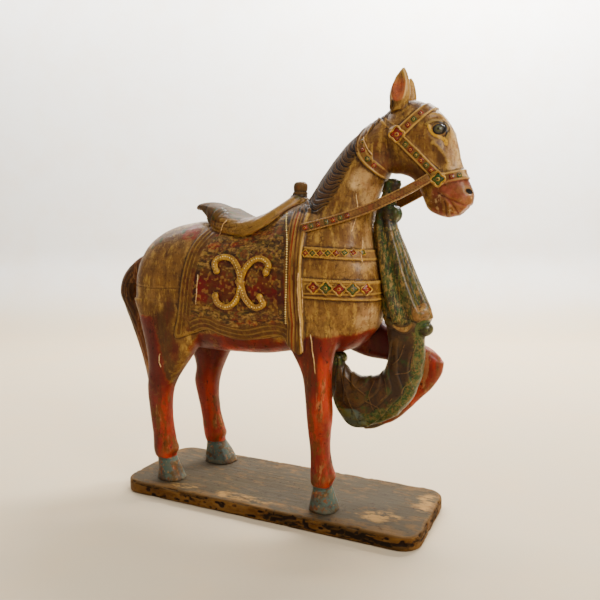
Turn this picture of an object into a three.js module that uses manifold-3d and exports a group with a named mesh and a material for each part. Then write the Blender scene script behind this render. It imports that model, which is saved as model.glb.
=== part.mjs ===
// A carved and painted wooden horse on its plinth: saddled, one foreleg raised, with a long
// neck scarf that loops down in front of the chest and back up between the forelegs.
// Millimetres, +X where the horse looks, +Y to its left, +Z up. The origin is the middle of
// the plinth's underside.
import * as THREE from "three";
import { mergeVertices } from "three/addons/utils/BufferGeometryUtils.js";
import Module from "manifold-3d";

const wasm = await Module();
wasm.setup();

// Driving dimensions.
const PLINTH_LENGTH = 686;
const PLINTH_WIDTH = 245;
const PLINTH_THICKNESS = 29;
const PLINTH_CORNER_RADIUS = 42;
const PLINTH_EDGE_CHAMFER = 3;
const FIGURE_HEIGHT = 865; // hoof soles to ear tips
const CLOTH_RELIEF = 4; // how far the saddle cloth stands proud of the body
const STRAP_RELIEF = 2.5; // the same for the breast bands, the collar and the girth
const SCROLL_THICKNESS = 11;
const REIN_THICKNESS = 6;
const REIN_DEPTH = 18;
const FIT_GAP = 0.3; // between pieces that touch

// The figure is drawn at this height, over a plinth whose top is at DRAWN_DECK, and every
// drawn size is a share of the figure's own height.
const DRAWN_HEIGHT = 865;
const DRAWN_DECK = 29;
const SHARE = FIGURE_HEIGHT / DRAWN_HEIGHT;

const across = (drawn) => drawn * SHARE;
const level = (drawn) => PLINTH_THICKNESS + (drawn - DRAWN_DECK) * SHARE;

// Catmull-Rom refinement of a list of equally long number rows.
function refine(rows, steps) {
  const out = [];
  const at = (i) => rows[Math.min(Math.max(i, 0), rows.length - 1)];
  for (let i = 0; i < rows.length - 1; i++) {
    for (let k = 0; k < steps; k++) {
      const t = k / steps;
      out.push(
        rows[i].map((_, c) => {
          const [p0, p1, p2, p3] = [at(i - 1)[c], at(i)[c], at(i + 1)[c], at(i + 2)[c]];
          const bend = 2 * p0 - 5 * p1 + 4 * p2 - p3;
          const twist = 3 * p1 - p0 - 3 * p2 + p3;
          return 0.5 * (2 * p1 + (p2 - p0) * t + bend * t * t + twist * t * t * t);
        }),
      );
    }
  }
  out.push(rows[rows.length - 1]);
  return out;
}

function solidOf(geometry) {
  const bare = geometry.index ? geometry.toNonIndexed() : geometry.clone();
  for (const name of Object.keys(bare.attributes)) {
    if (name !== "position") bare.deleteAttribute(name);
  }
  const merged = mergeVertices(bare, 1e-3);
  return new wasm.Manifold(
    new wasm.Mesh({
      numProp: 3,
      vertProperties: merged.attributes.position.array,
      triVerts: new Uint32Array(merged.index.array),
    }),
  );
}

function geometryOf(solid) {
  const mesh = solid.getMesh();
  const geometry = new THREE.BufferGeometry();
  geometry.setAttribute("position", new THREE.BufferAttribute(mesh.vertProperties, 3));
  geometry.setIndex(new THREE.BufferAttribute(mesh.triVerts, 1));
  const flat = geometry.toNonIndexed();
  flat.computeVertexNormals();
  return flat;
}

const joined = (solids) => solids.reduce((sum, next) => sum.add(next));

// A form carved between two outlines seen from the side. Each section is
// [x and z on the upper or front outline, x and z on the lower or rear one, half-width, y].
// grow moves the skin outwards, fullness above 1 squares the sections, sag widens them below
// and folds ripples them lengthwise, deeper and deeper along the form.
function carved(sections, options = {}) {
  const { sides = 20, steps = 2, grow = 0, fullness = 1, sag = 0, folds = 0 } = options;
  const rows = refine(sections, steps);
  const rings = rows.map(([ax, az, bx, bz, halfWidth, y = 0], row) => {
    const upper = new THREE.Vector2(across(ax), level(az));
    const lower = new THREE.Vector2(across(bx), level(bz));
    const middle = upper.clone().add(lower).multiplyScalar(0.5);
    const up = upper.clone().sub(lower);
    const reach = Math.max(up.length() / 2, 0.05);
    up.normalize();
    const wide = across(Math.max(halfWidth, 0.05));
    return Array.from({ length: sides }, (_, k) => {
      const turn = (2 * Math.PI * k) / sides;
      const square = (v) => Math.sign(v) * Math.abs(v) ** (1 / fullness);
      const ripple = 1 + folds * (row / rows.length) * (k % 3 === 0 ? 1 : -0.5);
      const high = square(Math.cos(turn)) * (reach + grow) * ripple;
      const side = square(Math.sin(turn)) * (wide + grow) * (1 - sag * Math.cos(turn)) * ripple;
      return new THREE.Vector3(middle.x + up.x * high, across(y) + side, middle.y + up.y * high);
    });
  });
  const points = [];
  const centre = (ring) =>
    ring.reduce((sum, p) => sum.add(p), new THREE.Vector3()).divideScalar(ring.length);
  const facet = (a, b, c) => points.push(a, b, c);
  for (let i = 0; i < rings.length - 1; i++) {
    for (let k = 0; k < sides; k++) {
      const next = (k + 1) % sides;
      const [a, b, c, d] = [rings[i][k], rings[i][next], rings[i + 1][next], rings[i + 1][k]];
      facet(a, b, c);
      facet(a, c, d);
    }
  }
  const [first, last] = [rings[0], rings[rings.length - 1]];
  for (let k = 0; k < sides; k++) {
    const next = (k + 1) % sides;
    facet(centre(first), first[next], first[k]);
    facet(centre(last), last[k], last[next]);
  }
  const geometry = new THREE.BufferGeometry().setFromPoints(points);
  const solid = solidOf(geometry);
  if (solid.volume() > 0) return solid;
  const flipped = [];
  for (let i = 0; i < points.length; i += 3) flipped.push(points[i], points[i + 2], points[i + 1]);
  return solidOf(new THREE.BufferGeometry().setFromPoints(flipped));
}

// A round form: centre x, y, z and its three radii.
function round(x, y, z, rx, ry, rz) {
  const ball = new THREE.SphereGeometry(1, 10, 6);
  ball.rotateX(Math.PI / 2);
  ball.scale(across(rx), across(ry), across(rz));
  ball.translate(across(x), across(y), level(z));
  return solidOf(ball);
}

// A slab standing across the figure between y0 and y1, outlined in x and z. A smooth outline
// runs through its points as one closed curve.
function slab(points, { y0 = -140, y1 = 140, smooth = false, divisions = 40 } = {}) {
  const drawn = points.map(([x, z]) => new THREE.Vector2(across(x), level(z)));
  let outline = drawn;
  if (smooth) {
    const loop = drawn.map((p) => new THREE.Vector3(p.x, p.y, 0));
    const curve = new THREE.CatmullRomCurve3(loop, true, "catmullrom", 0.5);
    outline = curve.getPoints(divisions).slice(0, -1);
  }
  const shape = new THREE.Shape(outline.map((p) => new THREE.Vector2(p.x, p.y)));
  const depth = across(y1 - y0);
  const body = new THREE.ExtrudeGeometry(shape, { depth, bevelEnabled: false });
  body.rotateX(Math.PI / 2);
  body.translate(0, across(y1), 0);
  return solidOf(body);
}

// A strip of even width along points in x and z, as an outline for slab.
function strip(points, width) {
  const line = points.map(([x, z]) => new THREE.Vector2(x, z));
  const side = (sign) =>
    line.map((p, i) => {
      const before = line[Math.max(i - 1, 0)];
      const after = line[Math.min(i + 1, line.length - 1)];
      const along = after.clone().sub(before).normalize();
      return [p.x - (sign * along.y * width) / 2, p.y + (sign * along.x * width) / 2];
    });
  return [...side(1), ...side(-1).reverse()];
}

// The body, from the rump to the breast: back, belly, half-width.
const TRUNK = [
  [-345, 490, -345, 430, 28],
  [-338, 534, -339, 372, 60],
  [-314, 569, -315, 346, 81],
  [-282, 591, -284, 337, 91],
  [-240, 606, -240, 332, 97],
  [-180, 614, -180, 326, 98],
  [-100, 612, -105, 324, 97],
  [-20, 615, -25, 327, 97],
  [40, 640, 40, 337, 98],
  [95, 648, 100, 341, 98],
  [145, 638, 152, 345, 94],
  [187, 600, 190, 362, 84],
  [214, 560, 214, 386, 68],
  [230, 515, 231, 415, 46],
  [237, 475, 237, 440, 20],
];

// Crest to throat, from inside the shoulders up to the poll.
const NECK = [
  [14, 580, 205, 430, 90],
  [44, 618, 226, 500, 80],
  [76, 658, 216, 560, 68],
  [107, 704, 211, 607, 57],
  [138, 744, 215, 642, 49],
  [168, 774, 226, 672, 44],
  [203, 797, 240, 698, 41],
  [238, 819, 256, 712, 38],
];

// Brow and bridge of the nose to jaw, from the poll to the lips.
const HEAD = [
  [240, 822, 232, 738, 22],
  [262, 833, 238, 716, 34],
  [290, 838, 248, 703, 40],
  [320, 827, 268, 701, 42],
  [346, 806, 288, 692, 41],
  [365, 778, 302, 674, 36],
  [375, 747, 311, 652, 30],
  [382, 717, 320, 634, 27],
  [395, 685, 335, 624, 28],
  [405, 661, 358, 617, 26],
  [404, 643, 378, 620, 18],
];

// Front edge to rear edge down each leg, half-width, and how far it stands to the side.
const NEAR_FORELEG = [
  [176, 430, 40, 430, 28, -58],
  [162, 380, 50, 372, 28, -62],
  [151, 338, 70, 342, 27, -65],
  [148, 300, 89, 305, 25, -67],
  [149, 262, 96, 262, 24, -68],
  [151, 225, 99, 225, 24, -68],
  [148, 185, 103, 185, 21, -68],
  [147, 150, 107, 150, 20, -68],
  [152, 118, 108, 120, 21, -68],
  [158, 98, 108, 100, 24, -68],
  [152, 82, 110, 84, 23, -69],
  [153, 74, 113, 75, 21, -69],
  [158, 52, 112, 52, 25, -69],
  [163, 29, 110, 29, 28, -69],
];

const NEAR_HIND_LEG = [
  [-140, 450, -344, 440, 42, -50],
  [-156, 385, -324, 398, 40, -56],
  [-173, 341, -310, 352, 36, -60],
  [-195, 306, -300, 318, 31, -64],
  [-222, 268, -296, 283, 27, -66],
  [-236, 240, -298, 246, 25, -68],
  [-242, 208, -298, 214, 22, -68],
  [-242, 175, -295, 178, 20, -68],
  [-239, 145, -291, 147, 19, -68],
  [-233, 115, -288, 117, 20, -68],
  [-228, 97, -286, 97, 23, -68],
  [-235, 84, -281, 83, 22, -68],
  [-231, 74, -277, 74, 20, -68],
  [-223, 52, -273, 52, 22, -68],
  [-214, 29, -272, 29, 24, -68],
];

const FAR_HIND_LEG = [
  [-120, 450, -334, 440, 42, 50],
  [-138, 375, -306, 388, 38, 58],
  [-157, 330, -286, 338, 34, 64],
  [-178, 292, -270, 300, 30, 68],
  [-194, 260, -262, 264, 26, 71],
  [-205, 228, -267, 230, 25, 72],
  [-208, 196, -262, 198, 22, 72],
  [-205, 165, -255, 167, 20, 72],
  [-199, 138, -250, 139, 19, 72],
  [-192, 115, -247, 116, 20, 72],
  [-188, 98, -244, 97, 23, 73],
  [-192, 84, -240, 83, 22, 73],
  [-186, 73, -237, 74, 22, 73],
  [-173, 52, -236, 52, 26, 73],
  [-164, 29, -236, 29, 29, 73],
];

// The raised leg: upper edge to lower edge out to the knee, then front to back down the shin.
const RAISED_FOREARM = [
  [140, 430, 135, 346, 30, 46],
  [190, 418, 185, 328, 32, 51],
  [238, 392, 232, 322, 28, 54],
  [283, 368, 276, 312, 24, 56],
  [318, 353, 305, 300, 21, 56],
  [340, 335, 322, 292, 17, 56],
];

const RAISED_SHIN = [
  [346, 326, 306, 348, 15, 56],
  [341, 300, 296, 322, 20, 56],
  [321, 269, 284, 296, 19, 56],
  [299, 246, 264, 272, 17, 56],
  [277, 222, 246, 250, 17, 56],
  [259, 204, 227, 230, 20, 56],
  [243, 192, 216, 216, 19, 56],
  [230, 186, 206, 210, 20, 56],
  [206, 173, 186, 208, 23, 56],
  [185, 168, 170, 198, 24, 56],
];

// Outer edge to inner edge down the tail.
const TAIL = [
  [-320, 545, -318, 494, 13],
  [-362, 535, -350, 486, 16],
  [-396, 513, -378, 468, 19],
  [-424, 480, -384, 446, 21],
  [-432, 445, -376, 420, 22],
  [-418, 410, -358, 392, 22],
  [-400, 370, -344, 358, 22],
  [-384, 328, -332, 320, 21],
  [-368, 283, -322, 278, 19],
  [-357, 238, -316, 234, 17],
  [-351, 194, -316, 191, 14],
  [-349, 150, -320, 150, 11],
  [-347, 120, -324, 120, 9],
  [-343, 106, -332, 106, 5],
];

// The saddle: its lifted cantle, the dip of the seat and the rise to the pommel.
const SADDLE = [
  [-206, 645, -205, 641, 5],
  [-199, 650, -198, 639, 15],
  [-186, 654, -184, 637, 26],
  [-168, 656, -164, 620, 36],
  [-150, 655, -146, 598, 45],
  [-120, 643, -120, 588, 58],
  [-85, 624, -87, 582, 68],
  [-50, 614, -50, 578, 74],
  [-10, 622, -12, 584, 70],
  [20, 641, 17, 596, 54],
  [40, 658, 38, 610, 32],
  [52, 668, 52, 620, 16],
];

// The post at the saddle's front, front edge to rear edge upwards.
const POMMEL = [
  [64, 632, 34, 628, 15],
  [63, 660, 36, 660, 13],
  [63, 670, 37, 670, 13],
  [66, 678, 36, 678, 15],
  [66, 688, 37, 689, 15],
  [60, 694, 42, 694, 9],
];

// The four scrolls on the saddle cloth, back to back in two pairs.
const SCROLLS = [
  [[-106, 512], [-110, 526], [-98, 540], [-78, 542], [-58, 530], [-46, 506], [-44, 484]],
  [[30, 516], [36, 530], [24, 542], [2, 544], [-18, 532], [-32, 508], [-36, 484]],
  [[-106, 468], [-112, 454], [-100, 440], [-80, 437], [-60, 446], [-47, 466], [-44, 490]],
  [[22, 464], [28, 450], [14, 438], [-6, 437], [-24, 447], [-34, 466], [-36, 490]],
];

// The scarf: gathered at the throat, fanned out below, then looped back under the chest.
const SCARF_FAN = [
  [266, 690, 234, 688, 13],
  [262, 668, 230, 668, 15],
  [258, 650, 226, 650, 17],
  [262, 600, 218, 600, 20],
  [282, 550, 224, 552, 27],
  [298, 510, 228, 510, 32],
  [316, 470, 234, 468, 36],
  [330, 440, 242, 436, 38],
  [333, 424, 248, 412, 34],
];

const SCARF_LOOP = [
  [333, 424, 240, 418, 30],
  [320, 388, 246, 380, 24],
  [319, 350, 248, 345, 24],
  [315, 310, 241, 320, 25],
  [301, 265, 230, 305, 25],
  [277, 233, 213, 299, 25],
  [240, 207, 200, 296, 24],
  [192, 188, 184, 297, 24],
  [157, 195, 168, 303, 22],
  [130, 236, 158, 312, 19],
  [121, 268, 154, 319, 17],
  [123, 300, 152, 326, 16],
  [127, 326, 150, 334, 15],
];

// Where a rein runs: x, distance to the side, z.
const REIN_LINE = [
  [94, 86, 597],
  [115, 82, 602],
  [137, 77, 608],
  [159, 72, 614],
  [181, 67, 621],
  [204, 62, 629],
  [228, 57, 638],
  [252, 53, 649],
  [276, 49, 660],
  [300, 45, 672],
  [318, 42, 682],
  [332, 40, 690],
];

const SOLE = DRAWN_DECK + FIT_GAP / SHARE;
const standing = (leg) => {
  const soles = leg.map((section) => [...section]);
  const last = soles[soles.length - 1];
  last[1] = SOLE;
  last[3] = SOLE;
  return soles;
};

const TRUNK_FULLNESS = 1.12;
const trunk = (grow = 0) => carved(TRUNK, { sides: 22, grow, fullness: TRUNK_FULLNESS });
const neck = (grow = 0) => carved(NECK, { sides: 18, grow, sag: 0.18 });
const head = (grow = 0) => carved(HEAD, { sides: 16, grow, sag: -0.06 });
const limb = (leg, grow = 0) => carved(leg, { sides: 12, steps: 1, grow, fullness: 1.25 });

// How far from the middle plane the skin of the saddle cloth lies at x, z.
function clothSide(x, z) {
  const rows = refine(TRUNK, 4);
  const nearest = rows.reduce((best, row) =>
    Math.abs(row[0] - x) < Math.abs(best[0] - x) ? row : best,
  );
  const [, top, , bottom, halfWidth] = nearest;
  const high = Math.abs((2 * z - top - bottom) / (top - bottom));
  const power = 2 * TRUNK_FULLNESS;
  return halfWidth * (1 - high ** power) ** (1 / power) + CLOTH_RELIEF / SHARE;
}

// One raised scroll on the cloth, to the side given.
function scroll(points, side) {
  const path = new THREE.CatmullRomCurve3(
    points.map(([x, z]) => {
      const y = side * clothSide(x, z);
      return new THREE.Vector3(across(x), across(y), level(z));
    }),
  );
  const section = new THREE.Shape();
  section.absarc(0, 0, across(SCROLL_THICKNESS) / 2, 0, 2 * Math.PI);
  const rod = { steps: 9, curveSegments: 3, extrudePath: path };
  return solidOf(new THREE.ExtrudeGeometry(section, rod));
}

function ear(y, tipHeight) {
  const spread = Math.sign(y) * 3;
  const reach = tipHeight - 830;
  const sections = [
    [279, 820, 250, 815, 11, y],
    [287, 830 + reach * 0.22, 247, 826 + reach * 0.22, 13, y + spread * 0.4],
    [286, 830 + reach * 0.5, 250, 826 + reach * 0.5, 11, y + spread * 0.8],
    [282, 830 + reach * 0.8, 260, 828 + reach * 0.8, 7, y + spread],
    [276, tipHeight, 272, tipHeight - 1, 2, y + spread],
  ];
  const hollow = [
    [278, 837, 258, 834, 7, y * 1.5],
    [281, 830 + reach * 0.35, 254, 828 + reach * 0.35, 8, y * 1.5],
    [280, 830 + reach * 0.65, 259, 828 + reach * 0.65, 6, y * 1.45],
    [276, 830 + reach * 0.86, 269, 829 + reach * 0.86, 1.5, y * 1.4],
  ];
  const shell = carved(sections, { sides: 10, steps: 1 });
  return shell.subtract(carved(hollow, { sides: 6, steps: 1 }));
}

function rosette(x, z, y) {
  const profile = [
    [0, -8],
    [14, -8],
    [14, 1],
    [9, 5],
    [0, 6],
  ];
  const disc = new THREE.LatheGeometry(
    profile.map(([r, h]) => new THREE.Vector2(across(r), across(h))),
    12,
  );
  if (y < 0) disc.rotateX(Math.PI);
  disc.translate(across(x), across(y), level(z));
  return solidOf(disc);
}

function buildFigure() {
  const body = [
    trunk(),
    neck(),
    head(),
    limb(standing(NEAR_FORELEG)),
    limb(standing(NEAR_HIND_LEG)),
    limb(standing(FAR_HIND_LEG)),
    limb(RAISED_FOREARM),
    limb(RAISED_SHIN),
    carved(TAIL, { sides: 12, steps: 1, folds: 0.1 }),
    ear(-22, 895),
    ear(22, 886),
    round(341, -38, 781, 10, 7, 8),
    round(341, 38, 781, 10, 7, 8),
    rosette(263, 773, -37),
    rosette(263, 773, 37),
    rosette(342, 689, -29),
    rosette(342, 689, 29),
    carved(SADDLE, { sides: 14, steps: 1, fullness: 1.4 }),
    carved(POMMEL, { sides: 12, steps: 1 }),
  ];

  // Saddle cloth and girth, clipped out of a swollen body.
  const cloth = slab(
    [
      [-120, 640], [-140, 600], [-166, 560], [-181, 500], [-191, 440], [-201, 400],
      [-206, 362], [-170, 372], [-130, 384], [-100, 375], [-60, 365], [0, 372],
      [45, 380], [70, 358], [98, 354], [98, 440], [98, 540], [96, 640], [20, 670],
    ],
    {},
  );
  const strap = STRAP_RELIEF;
  const breastBands = joined([
    slab(strip([[98, 552], [150, 550], [245, 544]], 20), {}),
    slab(strip([[98, 482], [150, 482], [262, 478]], 36), {}),
  ]);
  const breast = joined([trunk(strap), neck(strap)]).intersect(breastBands);

  // Mane, collar and bridle straps, clipped out of a swollen neck and head.
  const mane = slab(
    [
      [56, 636], [92, 708], [124, 752], [158, 782], [204, 808], [244, 832],
      [262, 838], [262, 820], [236, 798], [202, 780], [172, 756], [144, 724], [120, 680], [92, 636],
    ],
    { smooth: true },
  );
  const collar = slab(strip([[190, 790], [176, 764], [178, 740], [200, 716], [238, 700]], 26), {});
  const straps = joined([
    slab(strip([[318, 836], [288, 806], [262, 774]], 16), {}),
    slab(strip([[263, 773], [302, 735], [342, 691]], 17), {}),
    slab(strip([[342, 690], [366, 698], [396, 704]], 14), {}),
  ]);
  return joined([
    ...body,
    joined([trunk(CLOTH_RELIEF)]).intersect(cloth),
    breast,
    ...SCROLLS.flatMap((points) => [scroll(points, -1), scroll(points, 1)]),
    neck(CLOTH_RELIEF).intersect(mane),
    neck(strap).intersect(collar),
    head(strap).intersect(straps),
  ]);
}

// Everything a separate piece has to stay clear of.
function clearance() {
  return joined([
    trunk(STRAP_RELIEF + FIT_GAP),
    neck(STRAP_RELIEF + FIT_GAP),
    head(STRAP_RELIEF + FIT_GAP),
    trunk(CLOTH_RELIEF + FIT_GAP).intersect(slab([[-260, 200], [98.4, 200], [98.4, 760], [-260, 760]])),
    limb(RAISED_FOREARM, FIT_GAP),
    limb(RAISED_SHIN, FIT_GAP),
    rosette(342, 689, -29),
    rosette(342, 689, 29),
  ]);
}

function buildScarf(room) {
  const cloth = joined([
    carved(SCARF_FAN, { sides: 21, steps: 1, fullness: 1.2, folds: 0.16 }),
    carved(SCARF_LOOP, { sides: 14, steps: 1, fullness: 1.3 }),
    round(250, 0, 682, 17, 15, 12),
    round(243, 0, 625, 26, 22, 21),
    round(325, 0, 402, 15, 16, 15),
    round(141, 0, 331, 17, 17, 14),
  ]);
  return cloth.subtract(room);
}

// A flat strap on edge beside the neck and then through the air to the bit's rosette.
function buildRein(side, room) {
  const half = REIN_DEPTH / SHARE / 2;
  const rows = REIN_LINE.map(([x, y, z], i) => {
    const [before, after] = [REIN_LINE[Math.max(i - 1, 0)], REIN_LINE[i + 1] ?? REIN_LINE[i]];
    const slope = Math.atan2(after[2] - before[2], after[0] - before[0]);
    const [dx, dz] = [half * Math.sin(slope), half * Math.cos(slope)];
    return [x - dx, z + dz, x + dx, z - dz, REIN_THICKNESS / SHARE / 2, side * y];
  });
  return carved(rows, { sides: 8, steps: 1, fullness: 2.5 }).subtract(room);
}

function buildPlinth() {
  const chamfer = PLINTH_EDGE_CHAMFER;
  const x = PLINTH_LENGTH / 2 - chamfer;
  const y = PLINTH_WIDTH / 2 - chamfer;
  const r = PLINTH_CORNER_RADIUS - chamfer;
  const outline = new THREE.Shape();
  outline.absarc(x - r, y - r, r, 0, Math.PI / 2);
  outline.absarc(r - x, y - r, r, Math.PI / 2, Math.PI);
  outline.absarc(r - x, r - y, r, Math.PI, 1.5 * Math.PI);
  outline.absarc(x - r, r - y, r, 1.5 * Math.PI, 2 * Math.PI);
  const board = new THREE.ExtrudeGeometry(outline, {
    depth: PLINTH_THICKNESS - 2 * chamfer,
    bevelThickness: chamfer,
    bevelSize: chamfer,
    bevelSegments: 1,
    curveSegments: 6,
  });
  board.translate(0, 0, chamfer);
  return solidOf(board);
}

function named(name, solid, colour, roughness) {
  const material = new THREE.MeshStandardMaterial({ color: colour, roughness, metalness: 0 });
  const mesh = new THREE.Mesh(geometryOf(solid), material);
  mesh.name = name;
  return mesh;
}

const room = clearance();
const group = new THREE.Group();
group.name = "painted_horse";
group.add(
  named("plinth", buildPlinth(), 0x6b6152, 0.75),
  named("horse", buildFigure(), 0xa8763e, 0.55),
  named("hanging_scarf", buildScarf(room), 0x4a6b3c, 0.6),
  named("rein_right", buildRein(-1, room), 0x7a3a22, 0.6),
  named("rein_left", buildRein(1, room), 0x7a3a22, 0.6),
);

export default group;
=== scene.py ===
"""A carved and painted wooden horse on a low plinth, dressed and lit as in its photograph."""

import logging
import math
from dataclasses import dataclass, field
from enum import Enum
from typing import Callable, Sequence

import bpy
import numpy as np
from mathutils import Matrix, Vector
from mathutils.bvhtree import BVHTree


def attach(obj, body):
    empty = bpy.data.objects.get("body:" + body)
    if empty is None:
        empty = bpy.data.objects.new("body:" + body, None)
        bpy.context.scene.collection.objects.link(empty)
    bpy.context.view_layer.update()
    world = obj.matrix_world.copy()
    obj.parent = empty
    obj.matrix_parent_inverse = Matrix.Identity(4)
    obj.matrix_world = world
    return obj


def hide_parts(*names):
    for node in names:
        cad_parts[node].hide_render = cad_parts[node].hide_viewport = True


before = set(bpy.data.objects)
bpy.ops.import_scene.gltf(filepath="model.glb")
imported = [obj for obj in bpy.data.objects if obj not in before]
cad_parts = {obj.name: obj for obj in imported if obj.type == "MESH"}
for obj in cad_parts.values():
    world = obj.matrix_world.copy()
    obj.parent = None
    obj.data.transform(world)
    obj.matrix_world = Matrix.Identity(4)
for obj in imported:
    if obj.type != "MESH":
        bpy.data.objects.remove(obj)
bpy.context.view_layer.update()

LOG = logging.getLogger("painted_horse")
MM = 0.001
# Sizes in the tables are millimetres in the shared frame. A row is one section of a loft:
# x and z on its upper outline, x and z on its lower one, half-width, and y of its middle.
Rows = Sequence[Sequence[float]]
Points = Sequence[Sequence[float]]
# Places on a surface, each with the normal and the direction there.
Spots = list[tuple[np.ndarray, np.ndarray, np.ndarray]]
# What the lattice noise mixes its whole numbers with.
LATTICE = (374761393, 668265263, 2147483647)
SEED_STEP = 974634777
STIR = 1274126177
WORD = 0xFFFFFFFF
# How far the finer hollows are measured, in rounds over the mesh's edges.
FINE_ROUNDS = 3


def refine(rows: Rows, steps: int) -> np.ndarray:
    """Catmull-Rom refinement of equally long number rows.

    Args:
        rows: the rows to run through, in order.
        steps: how many rows each interval becomes.

    Returns:
        The finer rows, ends included.
    """
    table = np.asarray(rows, float)
    count = len(table)
    start = np.arange(count - 1)
    a, b, c, d = (table[np.clip(start + k, 0, count - 1)][:, None, :] for k in (-1, 0, 1, 2))
    t = (np.arange(steps) / steps)[None, :, None]
    bend = 2 * a - 5 * b + 4 * c - d
    twist = 3 * b - a - 3 * c + d
    fine = 0.5 * (2 * b + (c - a) * t + bend * t**2 + twist * t**3)
    return np.vstack([fine.reshape(-1, table.shape[1]), table[-1:]])


def hoop_faces(rings: int, sides: int, joined: bool = False) -> list[tuple[int, ...]]:
    """The faces between rings of points.

    Args:
        rings: how many rings.
        sides: points in each.
        joined: joins the last ring to the first.

    Returns:
        The faces, ring by ring.
    """
    pairs = [(i * sides, (i + 1) % rings * sides) for i in range(rings if joined else rings - 1)]
    steps = [(k, (k + 1) % sides) for k in range(sides)]
    return [(a + k, a + n, b + n, b + k) for a, b in pairs for k, n in steps]


def flipped(faces: Sequence[Sequence[int]]) -> list[tuple[int, ...]]:
    """The same faces seen from the other side."""
    return [(face[0], *reversed(face[1:])) for face in faces]


def caps(rings: int, sides: int) -> list[tuple[int, ...]]:
    """One flat face over each end of a row of rings."""
    last = (rings - 1) * sides
    return [tuple(reversed(range(sides))), tuple(last + k for k in range(sides))]


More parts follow.
